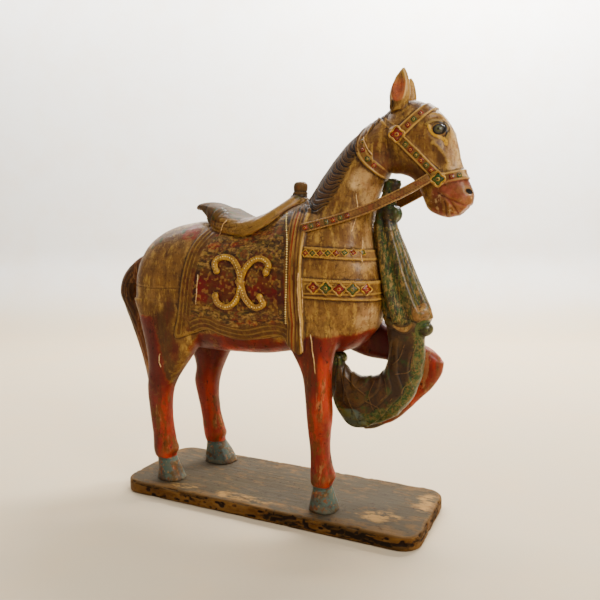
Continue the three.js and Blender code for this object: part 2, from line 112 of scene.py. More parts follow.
@dataclass
class Shape:
    """Closed meshes gathered in one list, in millimetres."""

    verts: list[np.ndarray] = field(default_factory=list)
    faces: list[tuple[int, ...]] = field(default_factory=list)
    count: int = 0

    def add(self, verts: np.ndarray, faces: Sequence[Sequence[int]]) -> None:
        """Adds one closed mesh.

        Args:
            verts: its points.
            faces: its faces, indexed from 0.
        """
        self.verts.append(np.asarray(verts, float))
        self.faces += [tuple(i + self.count for i in face) for face in faces]
        self.count += len(verts)

    def loft(
        self,
        rows: Rows,
        sides: int = 48,
        steps: int = 6,
        fullness: float = 1.0,
        sag: float = 0.0,
        ripple: Callable[[np.ndarray, np.ndarray], np.ndarray] | None = None,
    ) -> None:
        """Adds a form carved between two outlines seen from the side.

        Args:
            rows: sections of (x, z on one outline, x, z on the other, half-width, y).
            sides: points round each section.
            steps: sections per row.
            fullness: above 1 squares the sections.
            sag: widens the sections towards the second outline.
            ripple: scales each section point, from its turn and its share of the length.
        """
        padded = [list(row) + [0.0] * (6 - len(row)) for row in rows]
        table = refine(padded, steps)
        upper, lower = table[:, 0:2], table[:, 2:4]
        middle = (upper + lower) / 2
        up = upper - lower
        reach = np.maximum(np.linalg.norm(up, axis=1) / 2, 0.05)
        up = up / (2 * reach[:, None])
        wide = np.maximum(table[:, 4], 0.05)
        turn = 2 * np.pi * np.arange(sides) / sides
        cos, sin = np.cos(turn), np.sin(turn)
        high = np.sign(cos) * np.abs(cos) ** (1 / fullness)
        side = np.sign(sin) * np.abs(sin) ** (1 / fullness) * (1 - sag * cos)
        high, side = reach[:, None] * high[None], wide[:, None] * side[None]
        if ripple is not None:
            share = np.linspace(0, 1, len(table))[:, None]
            scale = ripple(turn[None, :], share)
            high, side = high * scale, side * scale
        ring = np.stack(
            [
                middle[:, 0:1] + up[:, 0:1] * high,
                table[:, 5:6] + side,
                middle[:, 1:2] + up[:, 1:2] * high,
            ],
            axis=2,
        )
        rings = len(table)
        verts = np.vstack([ring.reshape(-1, 3), ring[0].mean(0)[None], ring[-1].mean(0)[None]])
        faces = hoop_faces(rings, sides)
        last = (rings - 1) * sides
        for k in range(sides):
            n = (k + 1) % sides
            faces.append((n, k, rings * sides))
            faces.append((last + k, last + n, rings * sides + 1))
        self.add(verts, faces)

    def ball(self, centre: Sequence[float], radii: Sequence[float], sides: int = 24) -> None:
        """Adds an ellipsoid.

        Args:
            centre: its middle.
            radii: along x, y and z.
            sides: points round its waist.
        """
        cx, cy, cz = centre
        rx, ry, rz = radii
        lats = np.linspace(0.02, np.pi - 0.02, sides // 2 + 1)
        rows = [
            (cx + rx * math.sin(t), cz + rz * math.cos(t), cx - rx * math.sin(t),
             cz + rz * math.cos(t), ry * math.sin(t), cy)
            for t in lats
        ]
        self.loft(rows, sides=sides, steps=1)

    def ribbon(self, points: np.ndarray, outward: np.ndarray, half: float, height: float, sides: int = 12,
               closed: bool = False, ends: float = 0.2) -> None:
        """Adds a rounded ribbon lying on a surface.

        Args:
            points: its middle line.
            outward: the surface's normals along it.
            half: its half-width.
            height: how far it stands out, as much above as below.
            sides: points round it.
            closed: joins its ends.
            ends: the share of its length over which each end thins out.
        """
        if closed:
            along = np.roll(points, -1, axis=0) - np.roll(points, 1, axis=0)
        else:
            along = np.gradient(points, axis=0)
        along /= np.maximum(np.linalg.norm(along, axis=1), 1e-9)[:, None]
        across = np.cross(outward, along)
        across /= np.maximum(np.linalg.norm(across, axis=1), 1e-9)[:, None]
        count = len(points)
        share = np.linspace(0, 1, count)
        thin = np.ones(count)
        if not closed:
            thin = np.clip(np.minimum(share, 1 - share) / ends, 0, 1)
            thin = 0.12 + 0.88 * np.sqrt(1 - (1 - thin) ** 2)
        turn = 2 * np.pi * np.arange(sides) / sides
        wide = np.cos(turn)[None, :, None] * across[:, None, :] * (half * thin)[:, None, None]
        high = np.sin(turn)[None, :, None] * outward[:, None, :] * (height * thin)[:, None, None]
        ring = points[:, None, :] + wide + high
        faces = flipped(hoop_faces(count, sides, closed))
        if not closed:
            faces += [tuple(reversed(face)) for face in caps(count, sides)]
        self.add(ring.reshape(-1, 3), faces)

    def dome(self, centre: np.ndarray, outward: np.ndarray, ahead: np.ndarray, radius: float, height: float,
             sides: int = 12, lobes: int = 0, depth: float = 0.0, turned: float = 0.0) -> None:
        """Adds a lens lying on a surface, round or lobed.

        Args:
            centre: its middle.
            outward: the surface's normal there.
            ahead: the direction that its first lobe points in.
            radius: its mean radius.
            height: how far it stands out, as much above as below.
            sides: points round it.
            lobes: how many lobes its edge has.
            depth: how deep they are, as a share of the radius.
            turned: how far it is turned, in radians.
        """
        first = ahead - outward * float(ahead @ outward)
        first /= np.linalg.norm(first)
        second = np.cross(outward, first)
        turn = 2 * np.pi * np.arange(sides) / sides
        edge = radius * (1 + depth * np.cos(lobes * (turn + turned)))
        circle = np.cos(turn)[:, None] * first + np.sin(turn)[:, None] * second
        tilts = np.linspace(0.35, math.pi - 0.35, 6)
        rings = [
            centre + circle * (edge * math.sin(tilt))[:, None] + outward * height * math.cos(tilt)
            for tilt in tilts
        ]
        verts = np.vstack(rings + [(centre + outward * height)[None], (centre - outward * height)[None]])
        faces = flipped(hoop_faces(len(tilts), sides))
        top = len(tilts) * sides
        last = top - sides
        for k in range(sides):
            n = (k + 1) % sides
            faces.append((k, n, top))
            faces.append((last + n, last + k, top + 1))
        self.add(verts, faces)

    def mesh(self, name: str) -> bpy.types.Mesh:
        """The gathered forms as one Blender mesh in metres, faces turned outwards.

        Args:
            name: the mesh's name.

        Returns:
            The mesh.
        """
        return make_mesh(name, np.vstack(self.verts) * MM, self.faces)


def make_mesh(name: str, verts: np.ndarray, faces: Sequence[Sequence[int]]) -> bpy.types.Mesh:
    """A mesh from points in metres.

    Args:
        name: the mesh's name.
        verts: its points.
        faces: its faces.

    Returns:
        The mesh.
    """
    mesh = bpy.data.meshes.new(name)
    mesh.from_pydata([tuple(v) for v in verts], [], [tuple(f) for f in faces])
    mesh.validate()
    mesh.update()
    return mesh


def link(name: str, mesh: bpy.types.Mesh) -> bpy.types.Object:
    """Puts a mesh in the scene.

    Args:
        name: the object's name.
        mesh: its mesh.

    Returns:
        The object.
    """
    obj = bpy.data.objects.new(name, mesh)
    bpy.context.scene.collection.objects.link(obj)
    return obj


def settled(obj: bpy.types.Object) -> bpy.types.Mesh:
    """The object's mesh with its modifiers worked in.

    Args:
        obj: the object.

    Returns:
        A new mesh; the object now uses it and has no modifiers.
    """
    graph = bpy.context.evaluated_depsgraph_get()
    graph.update()
    mesh = bpy.data.meshes.new_from_object(obj.evaluated_get(graph))
    obj.modifiers.clear()
    obj.data = mesh
    return mesh


def welded(name: str, shape: Shape, voxel: float) -> bpy.types.Object:
    """One skin over all the forms of a shape.

    Args:
        name: the object's name.
        shape: the forms.
        voxel: the skin's grain, in millimetres.

    Returns:
        The object.
    """
    obj = link(name, shape.mesh(name))
    skin = obj.modifiers.new("skin", "REMESH")
    skin.mode = "VOXEL"
    skin.voxel_size = voxel * MM
    settled(obj)
    return obj


def coordinates(mesh: bpy.types.Mesh) -> np.ndarray:
    """The mesh's points in millimetres.

    Args:
        mesh: the mesh.

    Returns:
        One row per point.
    """
    flat = np.empty(len(mesh.vertices) * 3, np.float32)
    mesh.vertices.foreach_get("co", flat)
    return flat.reshape(-1, 3).astype(float) / MM


def place(mesh: bpy.types.Mesh, points: np.ndarray) -> None:
    """Moves the mesh's points to these, in millimetres."""
    mesh.vertices.foreach_set("co", (points * MM).astype(np.float32).ravel())
    mesh.update()


def normals(mesh: bpy.types.Mesh) -> np.ndarray:
    """The mesh's point normals.

    Args:
        mesh: the mesh.

    Returns:
        One row per point.
    """
    flat = np.empty(len(mesh.vertices) * 3, np.float32)
    mesh.vertex_normals.foreach_get("vector", flat)
    return flat.reshape(-1, 3).astype(float)


def edge_pairs(mesh: bpy.types.Mesh) -> np.ndarray:
    """The mesh's edges as pairs of point numbers.

    Args:
        mesh: the mesh.

    Returns:
        One row per edge.
    """
    flat = np.empty(len(mesh.edges) * 2, np.int32)
    mesh.edges.foreach_get("vertices", flat)
    return flat.reshape(-1, 2)


def spread(values: np.ndarray, pairs: np.ndarray) -> np.ndarray:
    """Each point's mean over its neighbours.

    Args:
        values: one row per point.
        pairs: the mesh's edges.

    Returns:
        One row of means per point.
    """
    count = len(values)
    a, b = pairs[:, 0], pairs[:, 1]
    degree = np.bincount(a, minlength=count) + np.bincount(b, minlength=count)
    columns = [
        np.bincount(a, values[b, c], minlength=count) + np.bincount(b, values[a, c], minlength=count)
        for c in range(values.shape[1])
    ]
    return np.stack(columns, axis=1) / np.maximum(degree, 1)[:, None]


def smooth(points: np.ndarray, pairs: np.ndarray, rounds: int) -> np.ndarray:
    """Smooths points without shrinking the form.

    Args:
        points: the points.
        pairs: the mesh's edges.
        rounds: how many passes.

    Returns:
        The smoothed points.
    """
    for _ in range(rounds):
        points = points + 0.55 * (spread(points, pairs) - points)
        points = points - 0.57 * (spread(points, pairs) - points)
    return points


def hollowness(points: np.ndarray, outward: np.ndarray, pairs: np.ndarray, rounds: int) -> np.ndarray:
    """How far each point sinks below its surroundings, in millimetres, negative on ridges.

    Args:
        points: the points.
        outward: their normals.
        pairs: the mesh's edges.
        rounds: how wide the surroundings are.

    Returns:
        One number per point.
    """
    around = points
    for _ in range(rounds):
        around = around + 0.9 * (spread(around, pairs) - around)
    return ((around - points) * outward).sum(axis=1)


def hollows(
    mesh: bpy.types.Mesh, points: np.ndarray, pairs: np.ndarray, wide: int
) -> dict[str, np.ndarray]:
    """The two depths that the darker hollows and the rubbed ridges follow.

    Args:
        mesh: the mesh.
        points: its points.
        pairs: its edges.
        wide: how wide the wider surroundings are, in rounds.

    Returns:
        The depths by field name.
    """
    outward = normals(mesh)
    reaches = (("hollow_fine", FINE_ROUNDS), ("hollow_wide", wide))
    return {name: hollowness(points, outward, pairs, rounds) for name, rounds in reaches}


def value_noise(points: np.ndarray, size: float, seed: int) -> np.ndarray:
    """Smooth noise from -1 to 1 on a lattice.

    Args:
        points: where, in millimetres.
        size: the lattice's pitch.
        seed: which noise.

    Returns:
        One number per point.
    """
    scaled = points / size
    base = np.floor(scaled).astype(np.int64)
    part = scaled - base
    part = part * part * (3 - 2 * part)
    total = np.zeros(len(points))
    for corner in range(8):
        step = np.array([(corner >> k) & 1 for k in range(3)])
        cell = base + step
        mixed = cell[:, 0] * LATTICE[0] + cell[:, 1] * LATTICE[1] + cell[:, 2] * LATTICE[2]
        mixed = (mixed + seed * SEED_STEP) & WORD
        mixed = ((mixed ^ (mixed >> 13)) * STIR) & WORD
        mixed = (mixed ^ (mixed >> 16)) & WORD
        weight = np.prod(np.where(step == 1, part, 1 - part), axis=1)
        total += weight * (mixed / (WORD / 2) - 1)
    return total


def step_up(value: np.ndarray, low: float, high: float) -> np.ndarray:
    """Smooth rise from 0 at low to 1 at high."""
    t = np.clip((value - low) / (high - low), 0, 1)
    return t * t * (3 - 2 * t)


def hump(value: np.ndarray, width: float) -> np.ndarray:
    """A round ridge of this half-width about 0, height 1."""
    return np.exp(-((value / width) ** 2))


def along_line(x: np.ndarray, z: np.ndarray, points: Points) -> tuple[np.ndarray, np.ndarray, np.ndarray]:
    """Where points lie beside a line drawn in x and z.

    Args:
        x: their x.
        z: their z.
        points: the line's points.

    Returns:
        The distance to the line, the length along it, and +1 left of it or -1 right of it.
    """
    line = np.asarray(points, float)
    best = np.full(len(x), 1e9)
    length = np.zeros(len(x))
    hand = np.ones(len(x))
    run = 0.0
    for (ax, az), (bx, bz) in zip(line[:-1], line[1:]):
        dx, dz = bx - ax, bz - az
        size = math.hypot(dx, dz)
        t = np.clip(((x - ax) * dx + (z - az) * dz) / size**2, 0, 1)
        gap = np.hypot(x - ax - t * dx, z - az - t * dz)
        closer = gap < best
        best = np.where(closer, gap, best)
        length = np.where(closer, run + t * size, length)
        cross = dx * (z - az) - dz * (x - ax)
        hand = np.where(closer, np.where(cross >= 0, 1.0, -1.0), hand)
        run += size
    return best, length, hand


def middles(rows: Rows) -> list[tuple[float, float]]:
    """The middle of each section of a loft, in x and z."""
    return [((row[0] + row[2]) / 2, (row[1] + row[3]) / 2) for row in rows]


def inside(x: np.ndarray, z: np.ndarray, outline: Points) -> np.ndarray:
    """Signed distance into a closed outline in x and z, positive inside.

    Args:
        x: the points' x.
        z: the points' z.
        outline: the outline's points in order.

    Returns:
        One distance per point, in millimetres.
    """
    loop = list(outline) + [outline[0]]
    gap, _, _ = along_line(x, z, loop)
    odd = np.zeros(len(x), bool)
    for (ax, az), (bx, bz) in zip(loop[:-1], loop[1:]):
        if az == bz:
            continue
        crosses = (az > z) != (bz > z)
        odd ^= crosses & (x < ax + (z - az) * (bx - ax) / (bz - az))
    return np.where(odd, gap, -gap)


def curve(points: Points, steps: int = 6) -> np.ndarray:
    """The points with a smooth run between them."""
    return refine(points, steps)


def beside(x: np.ndarray, z: np.ndarray, points: Points) -> np.ndarray:
    """How far points lie from a smooth line drawn in x and z."""
    return along_line(x, z, curve(points))[0]


def blots(along: np.ndarray, across: np.ndarray, spots: Points) -> list[np.ndarray]:
    """Soft round spots, 1 in their middles.

    Args:
        along: the points' first coordinate.
        across: their second.
        spots: each spot's two coordinates and two radii, and what follows them is left.

    Returns:
        One row of shares for each spot.
    """
    return [
        np.exp(-(((along - a) / wide) ** 2) - ((across - b) / high) ** 2) for a, b, wide, high, *_ in spots
    ]


def islands(x: np.ndarray, z: np.ndarray, discs: Points) -> np.ndarray:
    """How far inside the nearest of some discs, given by middle and radius, points lie."""
    return np.max([radius - np.hypot(x - cx, z - cz) for cx, cz, radius in discs], axis=0)


def thinned(obj: bpy.types.Object, triangles: int) -> None:
    """Brings an object's mesh down to about this many triangles.

    Args:
        obj: the object.
        triangles: the most it may keep.
    """
    mesh = obj.data
    count = sum(len(p.vertices) - 2 for p in mesh.polygons)
    if count > triangles:
        cut = obj.modifiers.new("thin", "DECIMATE")
        cut.ratio = triangles / count
        settled(obj)
    obj.data.shade_smooth()
    left = sum(len(p.vertices) - 2 for p in obj.data.polygons)
    LOG.info("%s: %d triangles, from %d", obj.name, left, count)


def write(mesh: bpy.types.Mesh, **fields: np.ndarray) -> None:
    """Stores one number per point under each name, for the finishes to read.

    Args:
        mesh: the mesh.
        fields: the numbers by name.
    """
    for name, values in fields.items():
        layer = mesh.attributes.new(name, "FLOAT", "POINT")
        layer.data.foreach_set("value", np.asarray(values, np.float32))


@dataclass
class Horse:
    """The carved figure: its form, its carving and the fields its paint follows."""

    voxel: float = 1.9
    most_triangles: int = 188_000
    cloth_relief: float = 4.0
    strap_relief: float = 2.5
    sole: float = 29.3
    nose_tip: float = 405.0
    seam_height: float = 468.0
    smoothing_first: int = 7
    smoothing_last: int = 3
    joint_fills: int = 3
    joint_rounds: int = 26
    hollow_rounds: int = 24
    ear_tips: tuple[tuple[int, float], ...] = ((-1, 895), (1, 886))
    trunk: Rows = (
        (-345, 490, -345, 430, 28), (-338, 534, -339, 372, 60), (-314, 569, -315, 346, 81),
        (-282, 591, -284, 337, 91), (-240, 606, -240, 332, 97), (-180, 614, -180, 326, 98),
        (-100, 612, -105, 324, 97), (-20, 615, -25, 327, 97), (40, 640, 40, 337, 98),
        (95, 648, 100, 341, 98), (145, 638, 152, 345, 94), (187, 600, 190, 362, 84),
        (214, 560, 214, 386, 68), (230, 515, 231, 415, 46), (237, 475, 237, 440, 20),
    )
    neck: Rows = (
        (14, 580, 205, 430, 90), (44, 618, 226, 500, 80), (76, 658, 216, 560, 68),
        (107, 704, 211, 607, 57), (138, 744, 215, 642, 49), (168, 774, 226, 672, 44),
        (203, 797, 240, 698, 41), (238, 819, 256, 712, 38),
    )
    head: Rows = (
        (240, 822, 232, 738, 22), (262, 833, 238, 716, 34), (290, 838, 248, 703, 40),
        (320, 827, 268, 701, 42), (346, 806, 288, 692, 41), (365, 778, 302, 674, 36),
        (375, 747, 311, 652, 30), (382, 717, 320, 634, 27), (395, 685, 335, 624, 28),
        (405, 661, 358, 617, 26), (404, 643, 378, 620, 18),
    )
    near_foreleg: Rows = (
        (176, 430, 40, 430, 28, -58), (162, 380, 50, 372, 28, -62), (151, 338, 70, 342, 27, -65),
        (148, 300, 89, 305, 25, -67), (149, 262, 96, 262, 24, -68), (151, 225, 99, 225, 24, -68),
        (148, 185, 103, 185, 21, -68), (147, 150, 107, 150, 20, -68), (152, 118, 108, 120, 21, -68),
        (158, 98, 108, 100, 24, -68), (152, 82, 110, 84, 23, -69), (153, 74, 113, 75, 21, -69),
        (158, 52, 112, 52, 25, -69), (163, 29.3, 110, 29.3, 28, -69),
    )
    near_hind_leg: Rows = (
        (-140, 450, -344, 440, 42, -50), (-156, 385, -324, 398, 40, -56),
        (-173, 341, -310, 352, 36, -60), (-195, 306, -300, 318, 31, -64),
        (-222, 268, -296, 283, 27, -66), (-236, 240, -298, 246, 25, -68),
        (-242, 208, -298, 214, 22, -68), (-242, 175, -295, 178, 20, -68),
        (-239, 145, -291, 147, 19, -68), (-233, 115, -288, 117, 20, -68),
        (-228, 97, -286, 97, 23, -68), (-235, 84, -281, 83, 22, -68),
        (-231, 74, -277, 74, 20, -68), (-223, 52, -273, 52, 22, -68),
        (-214, 29.3, -272, 29.3, 24, -68),
    )
    far_hind_leg: Rows = (
        (-120, 450, -334, 440, 42, 50), (-138, 375, -306, 388, 38, 58),
        (-157, 330, -286, 338, 34, 64), (-178, 292, -270, 300, 30, 68),
        (-194, 260, -262, 264, 26, 71), (-205, 228, -267, 230, 25, 72),
        (-208, 196, -262, 198, 22, 72), (-205, 165, -255, 167, 20, 72),
        (-199, 138, -250, 139, 19, 72), (-192, 115, -247, 116, 20, 72),
        (-188, 98, -244, 97, 23, 73), (-192, 84, -240, 83, 22, 73), (-186, 73, -237, 74, 22, 73),
        (-173, 52, -236, 52, 26, 73), (-164, 29.3, -236, 29.3, 29, 73),
    )
    raised_forearm: Rows = (
        (140, 430, 135, 346, 30, 46), (190, 418, 185, 328, 32, 51), (238, 392, 232, 322, 28, 54),
        (283, 368, 276, 312, 24, 56), (318, 353, 305, 300, 21, 56), (340, 335, 322, 292, 17, 56),
    )
    raised_shin: Rows = (
        (346, 326, 306, 348, 15, 56), (341, 300, 296, 322, 20, 56), (321, 269, 284, 296, 19, 56),
        (299, 246, 264, 272, 17, 56), (277, 222, 246, 250, 17, 56), (259, 204, 227, 230, 20, 56),
        (243, 192, 216, 216, 19, 56), (230, 186, 206, 210, 20, 56), (206, 173, 186, 208, 23, 56),
        (185, 168, 170, 198, 24, 56),
    )
    tail: Rows = (
        (-320, 545, -318, 494, 13), (-362, 535, -350, 486, 16), (-396, 513, -378, 468, 19),
        (-424, 480, -384, 446, 21), (-432, 445, -376, 420, 22), (-418, 410, -358, 392, 22),
        (-400, 370, -344, 358, 22), (-384, 328, -332, 320, 21), (-368, 283, -322, 278, 19),
        (-357, 238, -316, 234, 17), (-351, 194, -316, 191, 14), (-349, 150, -320, 150, 11),
        (-347, 120, -324, 120, 9), (-343, 106, -332, 106, 5),
    )
    saddle: Rows = (
        (-206, 645, -205, 641, 5), (-199, 650, -198, 639, 15), (-186, 654, -184, 637, 26),
        (-168, 656, -164, 620, 36), (-150, 655, -146, 598, 45), (-120, 643, -120, 588, 58),
        (-85, 624, -87, 582, 68), (-50, 614, -50, 578, 74), (-10, 622, -12, 584, 70),
        (20, 641, 17, 596, 54), (40, 658, 38, 610, 32), (52, 668, 52, 620, 16),
    )
    pommel: Rows = (
        (64, 632, 34, 628, 15), (63, 660, 36, 660, 13), (63, 670, 37, 670, 13),
        (66, 678, 36, 678, 15), (66, 688, 37, 689, 15), (60, 694, 42, 694, 9),
    )
    cloth_outline: Points = (
        (-120, 640), (-140, 600), (-166, 560), (-181, 500), (-191, 440), (-201, 400),
        (-206, 362), (-170, 372), (-130, 384), (-100, 375), (-60, 365), (0, 372),
        (45, 380), (70, 358), (98, 354), (98, 440), (98, 540), (96, 640), (20, 670),
    )
    cloth_rear: Points = (
        (-120, 640), (-140, 600), (-166, 560), (-181, 500), (-191, 440), (-201, 400), (-206, 362),
    )
    cloth_hem: Points = (
        (-206, 362), (-170, 372), (-130, 384), (-100, 375), (-60, 365), (0, 372), (45, 380),
        (70, 358),
    )
    skirt_hem: Points = (
        (-150, 612), (-138, 598), (-120, 589), (-80, 583), (-40, 586), (-10, 597), (18, 615),
        (40, 632), (62, 650),
    )
    mane_outline: Points = (
        (56, 628), (92, 708), (124, 752), (158, 782), (204, 808), (244, 832), (262, 840),
        (262, 822), (240, 806), (207, 772), (194, 744), (178, 716), (163, 684), (146, 652), (118, 624),
    )
    crest: Points = (
        (52, 630), (76, 668), (107, 714), (138, 752), (168, 782), (203, 805), (244, 830),
    )
    collar: Points = ((206, 790), (196, 768), (197, 750), (206, 733), (218, 720), (238, 702))
    collar_panel: Points = (
        (196, 800), (186, 776), (184, 750), (196, 728), (216, 708), (238, 692), (252, 704), (247, 730),
        (262, 762), (246, 790), (220, 812),
    )
    brow_strap: Points = ((334, 832), (310.6, 807), (289, 787), (268, 768))
    cheek_strap: Points = ((268, 768), (302, 735), (345, 688))
    nose_strap: Points = ((345, 686), (368, 691), (389, 695.5), (404, 700))
    neck_strap: Points = ((214, 814), (237, 800), (268, 778))
    strap_halves: tuple[float, ...] = (10.5, 9.5, 9.5)
    upper_lid: Points = ((322, 786), (333, 792), (349, 789.5), (357, 779), (358, 760))
    lower_lid: Points = ((327, 782), (333, 769), (343, 763.5), (353, 758), (357, 750))
    eye_at: tuple[float, float] = (344.0, 776.5)
    thigh: Points = (
        (-140, 440), (-268, 424), (-262, 372), (-250, 335), (-244, 300), (-238, 262), (-234, 236),
        (-222, 236),
        (-208, 275), (-190, 312), (-172, 350), (-150, 380),
    )
    # Painted shade: the darker patch where the near thigh meets the belly, as x and z.
    stifle_shade: Points = (
        (-274, 404), (-246, 412), (-236, 440), (-218, 448), (-206, 436), (-210, 408), (-222, 384),
        (-196, 340), (-206, 290), (-226, 240), (-240, 240), (-252, 290), (-262, 340), (-280, 380),
    )
    roses: Points = (
        (-34, 545, 10), (43, 593, 9), (-10, 493, 9), (50, 485, 8), (-150, 586, 8), (-205, 592, 12),
        (-62, 500, 8), (30, 540, 7), (-90, 552, 7), (20, 452, 7), (-110, 446, 6), (-60, 588, 6),
    )

    rump_leaves: Points = ((-205, 592, 6.5), (-262, 572, 6.0), (-284, 556, 4.5))
    near_belly: Points = (
        (-350, 404), (-262, 404), (-150, 372), (60, 366), (110, 382), (160, 386), (200, 393), (225, 398),
    )
    far_belly: Points = ((-350, 380), (-250, 370), (-150, 380), (60, 366), (160, 380), (225, 392))
    chips: Points = (
        (134, 250, 9, 42, -1), (138, 110, 12, 24, -1), (-240, 110, 14, 20, -1),
        (-262, 160, 10, 30, -1), (320, 270, 12, 20, 1), (-200, 130, 14, 20, 1),
    )
    # Pale rubbed paint that is also a painted highlight, on the chest front, neck front, near foreleg's
    # front edge, rump top and face: x, z and two radii.
    rubbed_and_lit_spots: Points = (
        (216, 560, 20, 60), (222, 400, 30, 60), (222, 655, 34, 30), (196, 690, 26, 30),
        (110, 280, 22, 40), (150, 230, 9, 90), (-180, 610, 60, 14), (370, 730, 16, 60),
    )

    def shape(self) -> Shape:
        """The figure's forms, not yet joined.

        Returns:
            The forms.
        """
        form = Shape()
        form.loft(self.trunk, sides=72, steps=8, fullness=1.12)
        form.loft(self.neck, sides=64, steps=8, sag=0.18)
        form.loft(self.head, sides=56, steps=8, sag=-0.06)
        for leg in (self.near_foreleg, self.near_hind_leg, self.far_hind_leg):
            form.loft(leg, sides=40, steps=6, fullness=1.25)
        form.loft(self.raised_forearm, sides=40, steps=6, fullness=1.25)
        form.loft(self.raised_shin, sides=40, steps=6, fullness=1.25)
        form.loft(self.tail, sides=36, steps=6)
        form.loft(self.saddle, sides=44, steps=6, fullness=1.4)
        form.loft(self.pommel, sides=32, steps=3)
        for side, tip in self.ear_tips:
            form.loft(self.ear(side, tip), sides=28, steps=5)
            form.ball((263, side * 36, 773), (14, 8, 14))
            form.ball((342, side * 29, 689), (14, 7, 14))
        return form

    def ear(self, side: int, tip: float) -> Rows:
        """One ear's sections, base to tip.

        Args:
            side: -1 for the right ear, 1 for the left.
            tip: its height.

        Returns:
            The sections.
        """
        reach = tip - 830
        return (
            (279, 820, 250, 815, 11, side * 22),
            (287, 830 + reach * 0.22, 247, 826 + reach * 0.22, 13, side * 23.2),
            (286, 830 + reach * 0.5, 250, 826 + reach * 0.5, 11, side * 24.4),
            (282, 830 + reach * 0.8, 260, 828 + reach * 0.8, 7, side * 25),
            (276, tip, 272, tip - 1, 2, side * 25),
        )

    def build(self) -> bpy.types.Object:
        """Joins, carves and thins the figure.

        Returns:
            The figure, with its paint fields stored on its points.
        """
        obj = welded("horse_figure", self.shape(), self.voxel)
        mesh = obj.data
        points = coordinates(mesh)
        pairs = edge_pairs(mesh)
        points = smooth(points, pairs, self.smoothing_first)
        place(mesh, points)
        for _ in range(self.joint_fills):
            outward = normals(mesh)
            sunk = hollowness(points, outward, pairs, self.joint_rounds)
            points = points + outward * (sunk * self.joints(points) * step_up(sunk, 0.3, 1.2))[:, None]
            place(mesh, points)
        points = smooth(points, pairs, self.smoothing_last)
        place(mesh, points)
        outward = normals(mesh)
        points = points + outward * self.relief(points, outward)[:, None]
        floor = points[:, 2] < self.sole + 0.4
        points[floor, 2] = self.sole
        points[:, 0] = np.minimum(points[:, 0], self.nose_tip)
        place(mesh, points)
        outward = normals(mesh)
        fields = self.paint_fields(points, outward)
        write(mesh, **fields, **hollows(mesh, points, pairs, self.hollow_rounds))
        thinned(obj, self.most_triangles)
        return obj

    def joints(self, p: np.ndarray) -> np.ndarray:
        """1 at the shoulders and hips, where a limb runs smoothly into the trunk.

        Args:
            p: the points.

        Returns:
            One share per point.
        """
        x, _, z = p.T
        level = step_up(z, 320, 345) * step_up(500 - z, 0, 30)
        shoulder = step_up(x, 20, 45) * step_up(205 - x, 0, 20)
        behind_jaw = step_up(x, 234, 244) * step_up(270 - x, 0, 12)
        throat = step_up(z, 690, 712) * step_up(806 - z, 0, 16) * behind_jaw
        return np.maximum(level * np.maximum(shoulder, step_up(-120 - x, 0, 20)), throat)

    def relief(self, p: np.ndarray, n: np.ndarray) -> np.ndarray:
        """How far the carving stands proud of the plain form.

        Args:
            p: the points.
            n: their normals.

        Returns:
            One height per point, in millimetres.
        """
        x, y, z = p.T
        flank = step_up(np.abs(y), 8, 24)
        lift = 0.55 * value_noise(p, 46, 1) + 0.3 * value_noise(p, 17, 2) + 0.12 * value_noise(p, 7, 3)
        body = (x < 250) & (z > 330)
        cloth = np.where(body, inside(x, z, curve(self.cloth_outline)), -50)
        lift += self.cloth_relief * step_up(cloth, -1.5, 1.5)
        lift += self.cloth_carving(p, cloth)
        lift += self.saddle_carving(p)
        lift += self.breast_carving(p)
        lift += self.mane_carving(p) * flank
        lift += self.head_carving(p, n)
        lift += self.leg_carving(p)
        lift += self.tail_carving(p)
        seam = hump(z - self.seam_height - 1.2 * np.sin(x / 19), 1.3) * step_up(-cloth, 2, 4) * (z > 440)
        lift -= 0.9 * seam * body * (x < 262)
        return lift

    def cloth_carving(self, p: np.ndarray, cloth: np.ndarray) -> np.ndarray:
        """The saddle cloth's border, hem, girth and flecks.

        Args:
            p: the points.
            cloth: how far inside the cloth each lies.

        Returns:
            One height per point, in millimetres.
        """
        x, _, z = p.T
        on = step_up(cloth, 0, 2)
        rear, run, _ = along_line(x, z, curve(self.cloth_rear))
        hem, hem_run, _ = along_line(x, z, curve(self.cloth_hem))
        wave = 1.6 * np.sin(hem_run / 13)
        lift = np.zeros(len(x))
        for at in (3.5, 12.5, 21.5, 30.5):
            lift += 0.4 * hump(rear - at, 2.3)
        border = rear < 32
        for at in (4.5, 14.0, 24.0):
            lift += np.where(border, 0, 0.85 * hump(hem + wave - at, 2.0)) * (x < 62)
        lift -= np.where(border, 0.5 * np.abs(np.sin(run / 11)) * (rear > 14) * (rear < 20), 0)
        panel = (~border) & (hem > 30) & (x < 56) & (z < 586)
        fleck = value_noise(p * np.array([1, 0.4, 1]), 8.5, 11) + 0.6 * value_noise(p, 4.6, 12)
        lift += np.where(panel, 0.8 * step_up(fleck, 0.0, 0.5), 0)
        girth = (x > 60) & (x < 99)
        for at in (66, 73, 80, 87):
            lift += np.where(girth, 0.9 * hump(x - at - 1.2 * np.sin(z / 37), 2.0), 0)
        lift += 1.8 * step_up(x, 91.5, 93) * step_up(100.0 - x, 0, 1.5) * (z > 350) * (z < 640)
        return lift * on

    def saddle_carving(self, p: np.ndarray) -> np.ndarray:
        """The seat's skirt with its long cut lines.

        Args:
            p: the points.

        Returns:
            One height per point, in millimetres.
        """
        x, _, z = p.T
        seat = (x > -152) & (x < 64) & (z > 560) & (z < 672)
        gap, run, hand = along_line(x, z, curve(self.skirt_hem))
        above = gap * hand
        lift = 3.2 * step_up(above, -1.2, 1.2) * seat * step_up(40 - above, 0, 12)
        lines = np.zeros(len(x))
        for at in (5, 10.5, 16.5, 23):
            lines = lines + hump(above - at - 1.5 * np.sin(run / 30), 1.5)
        lift -= 0.7 * lines * seat * step_up(x, -140, -100)
        lift -= 1.3 * hump(above + 1.8, 2.4) * seat
        return lift

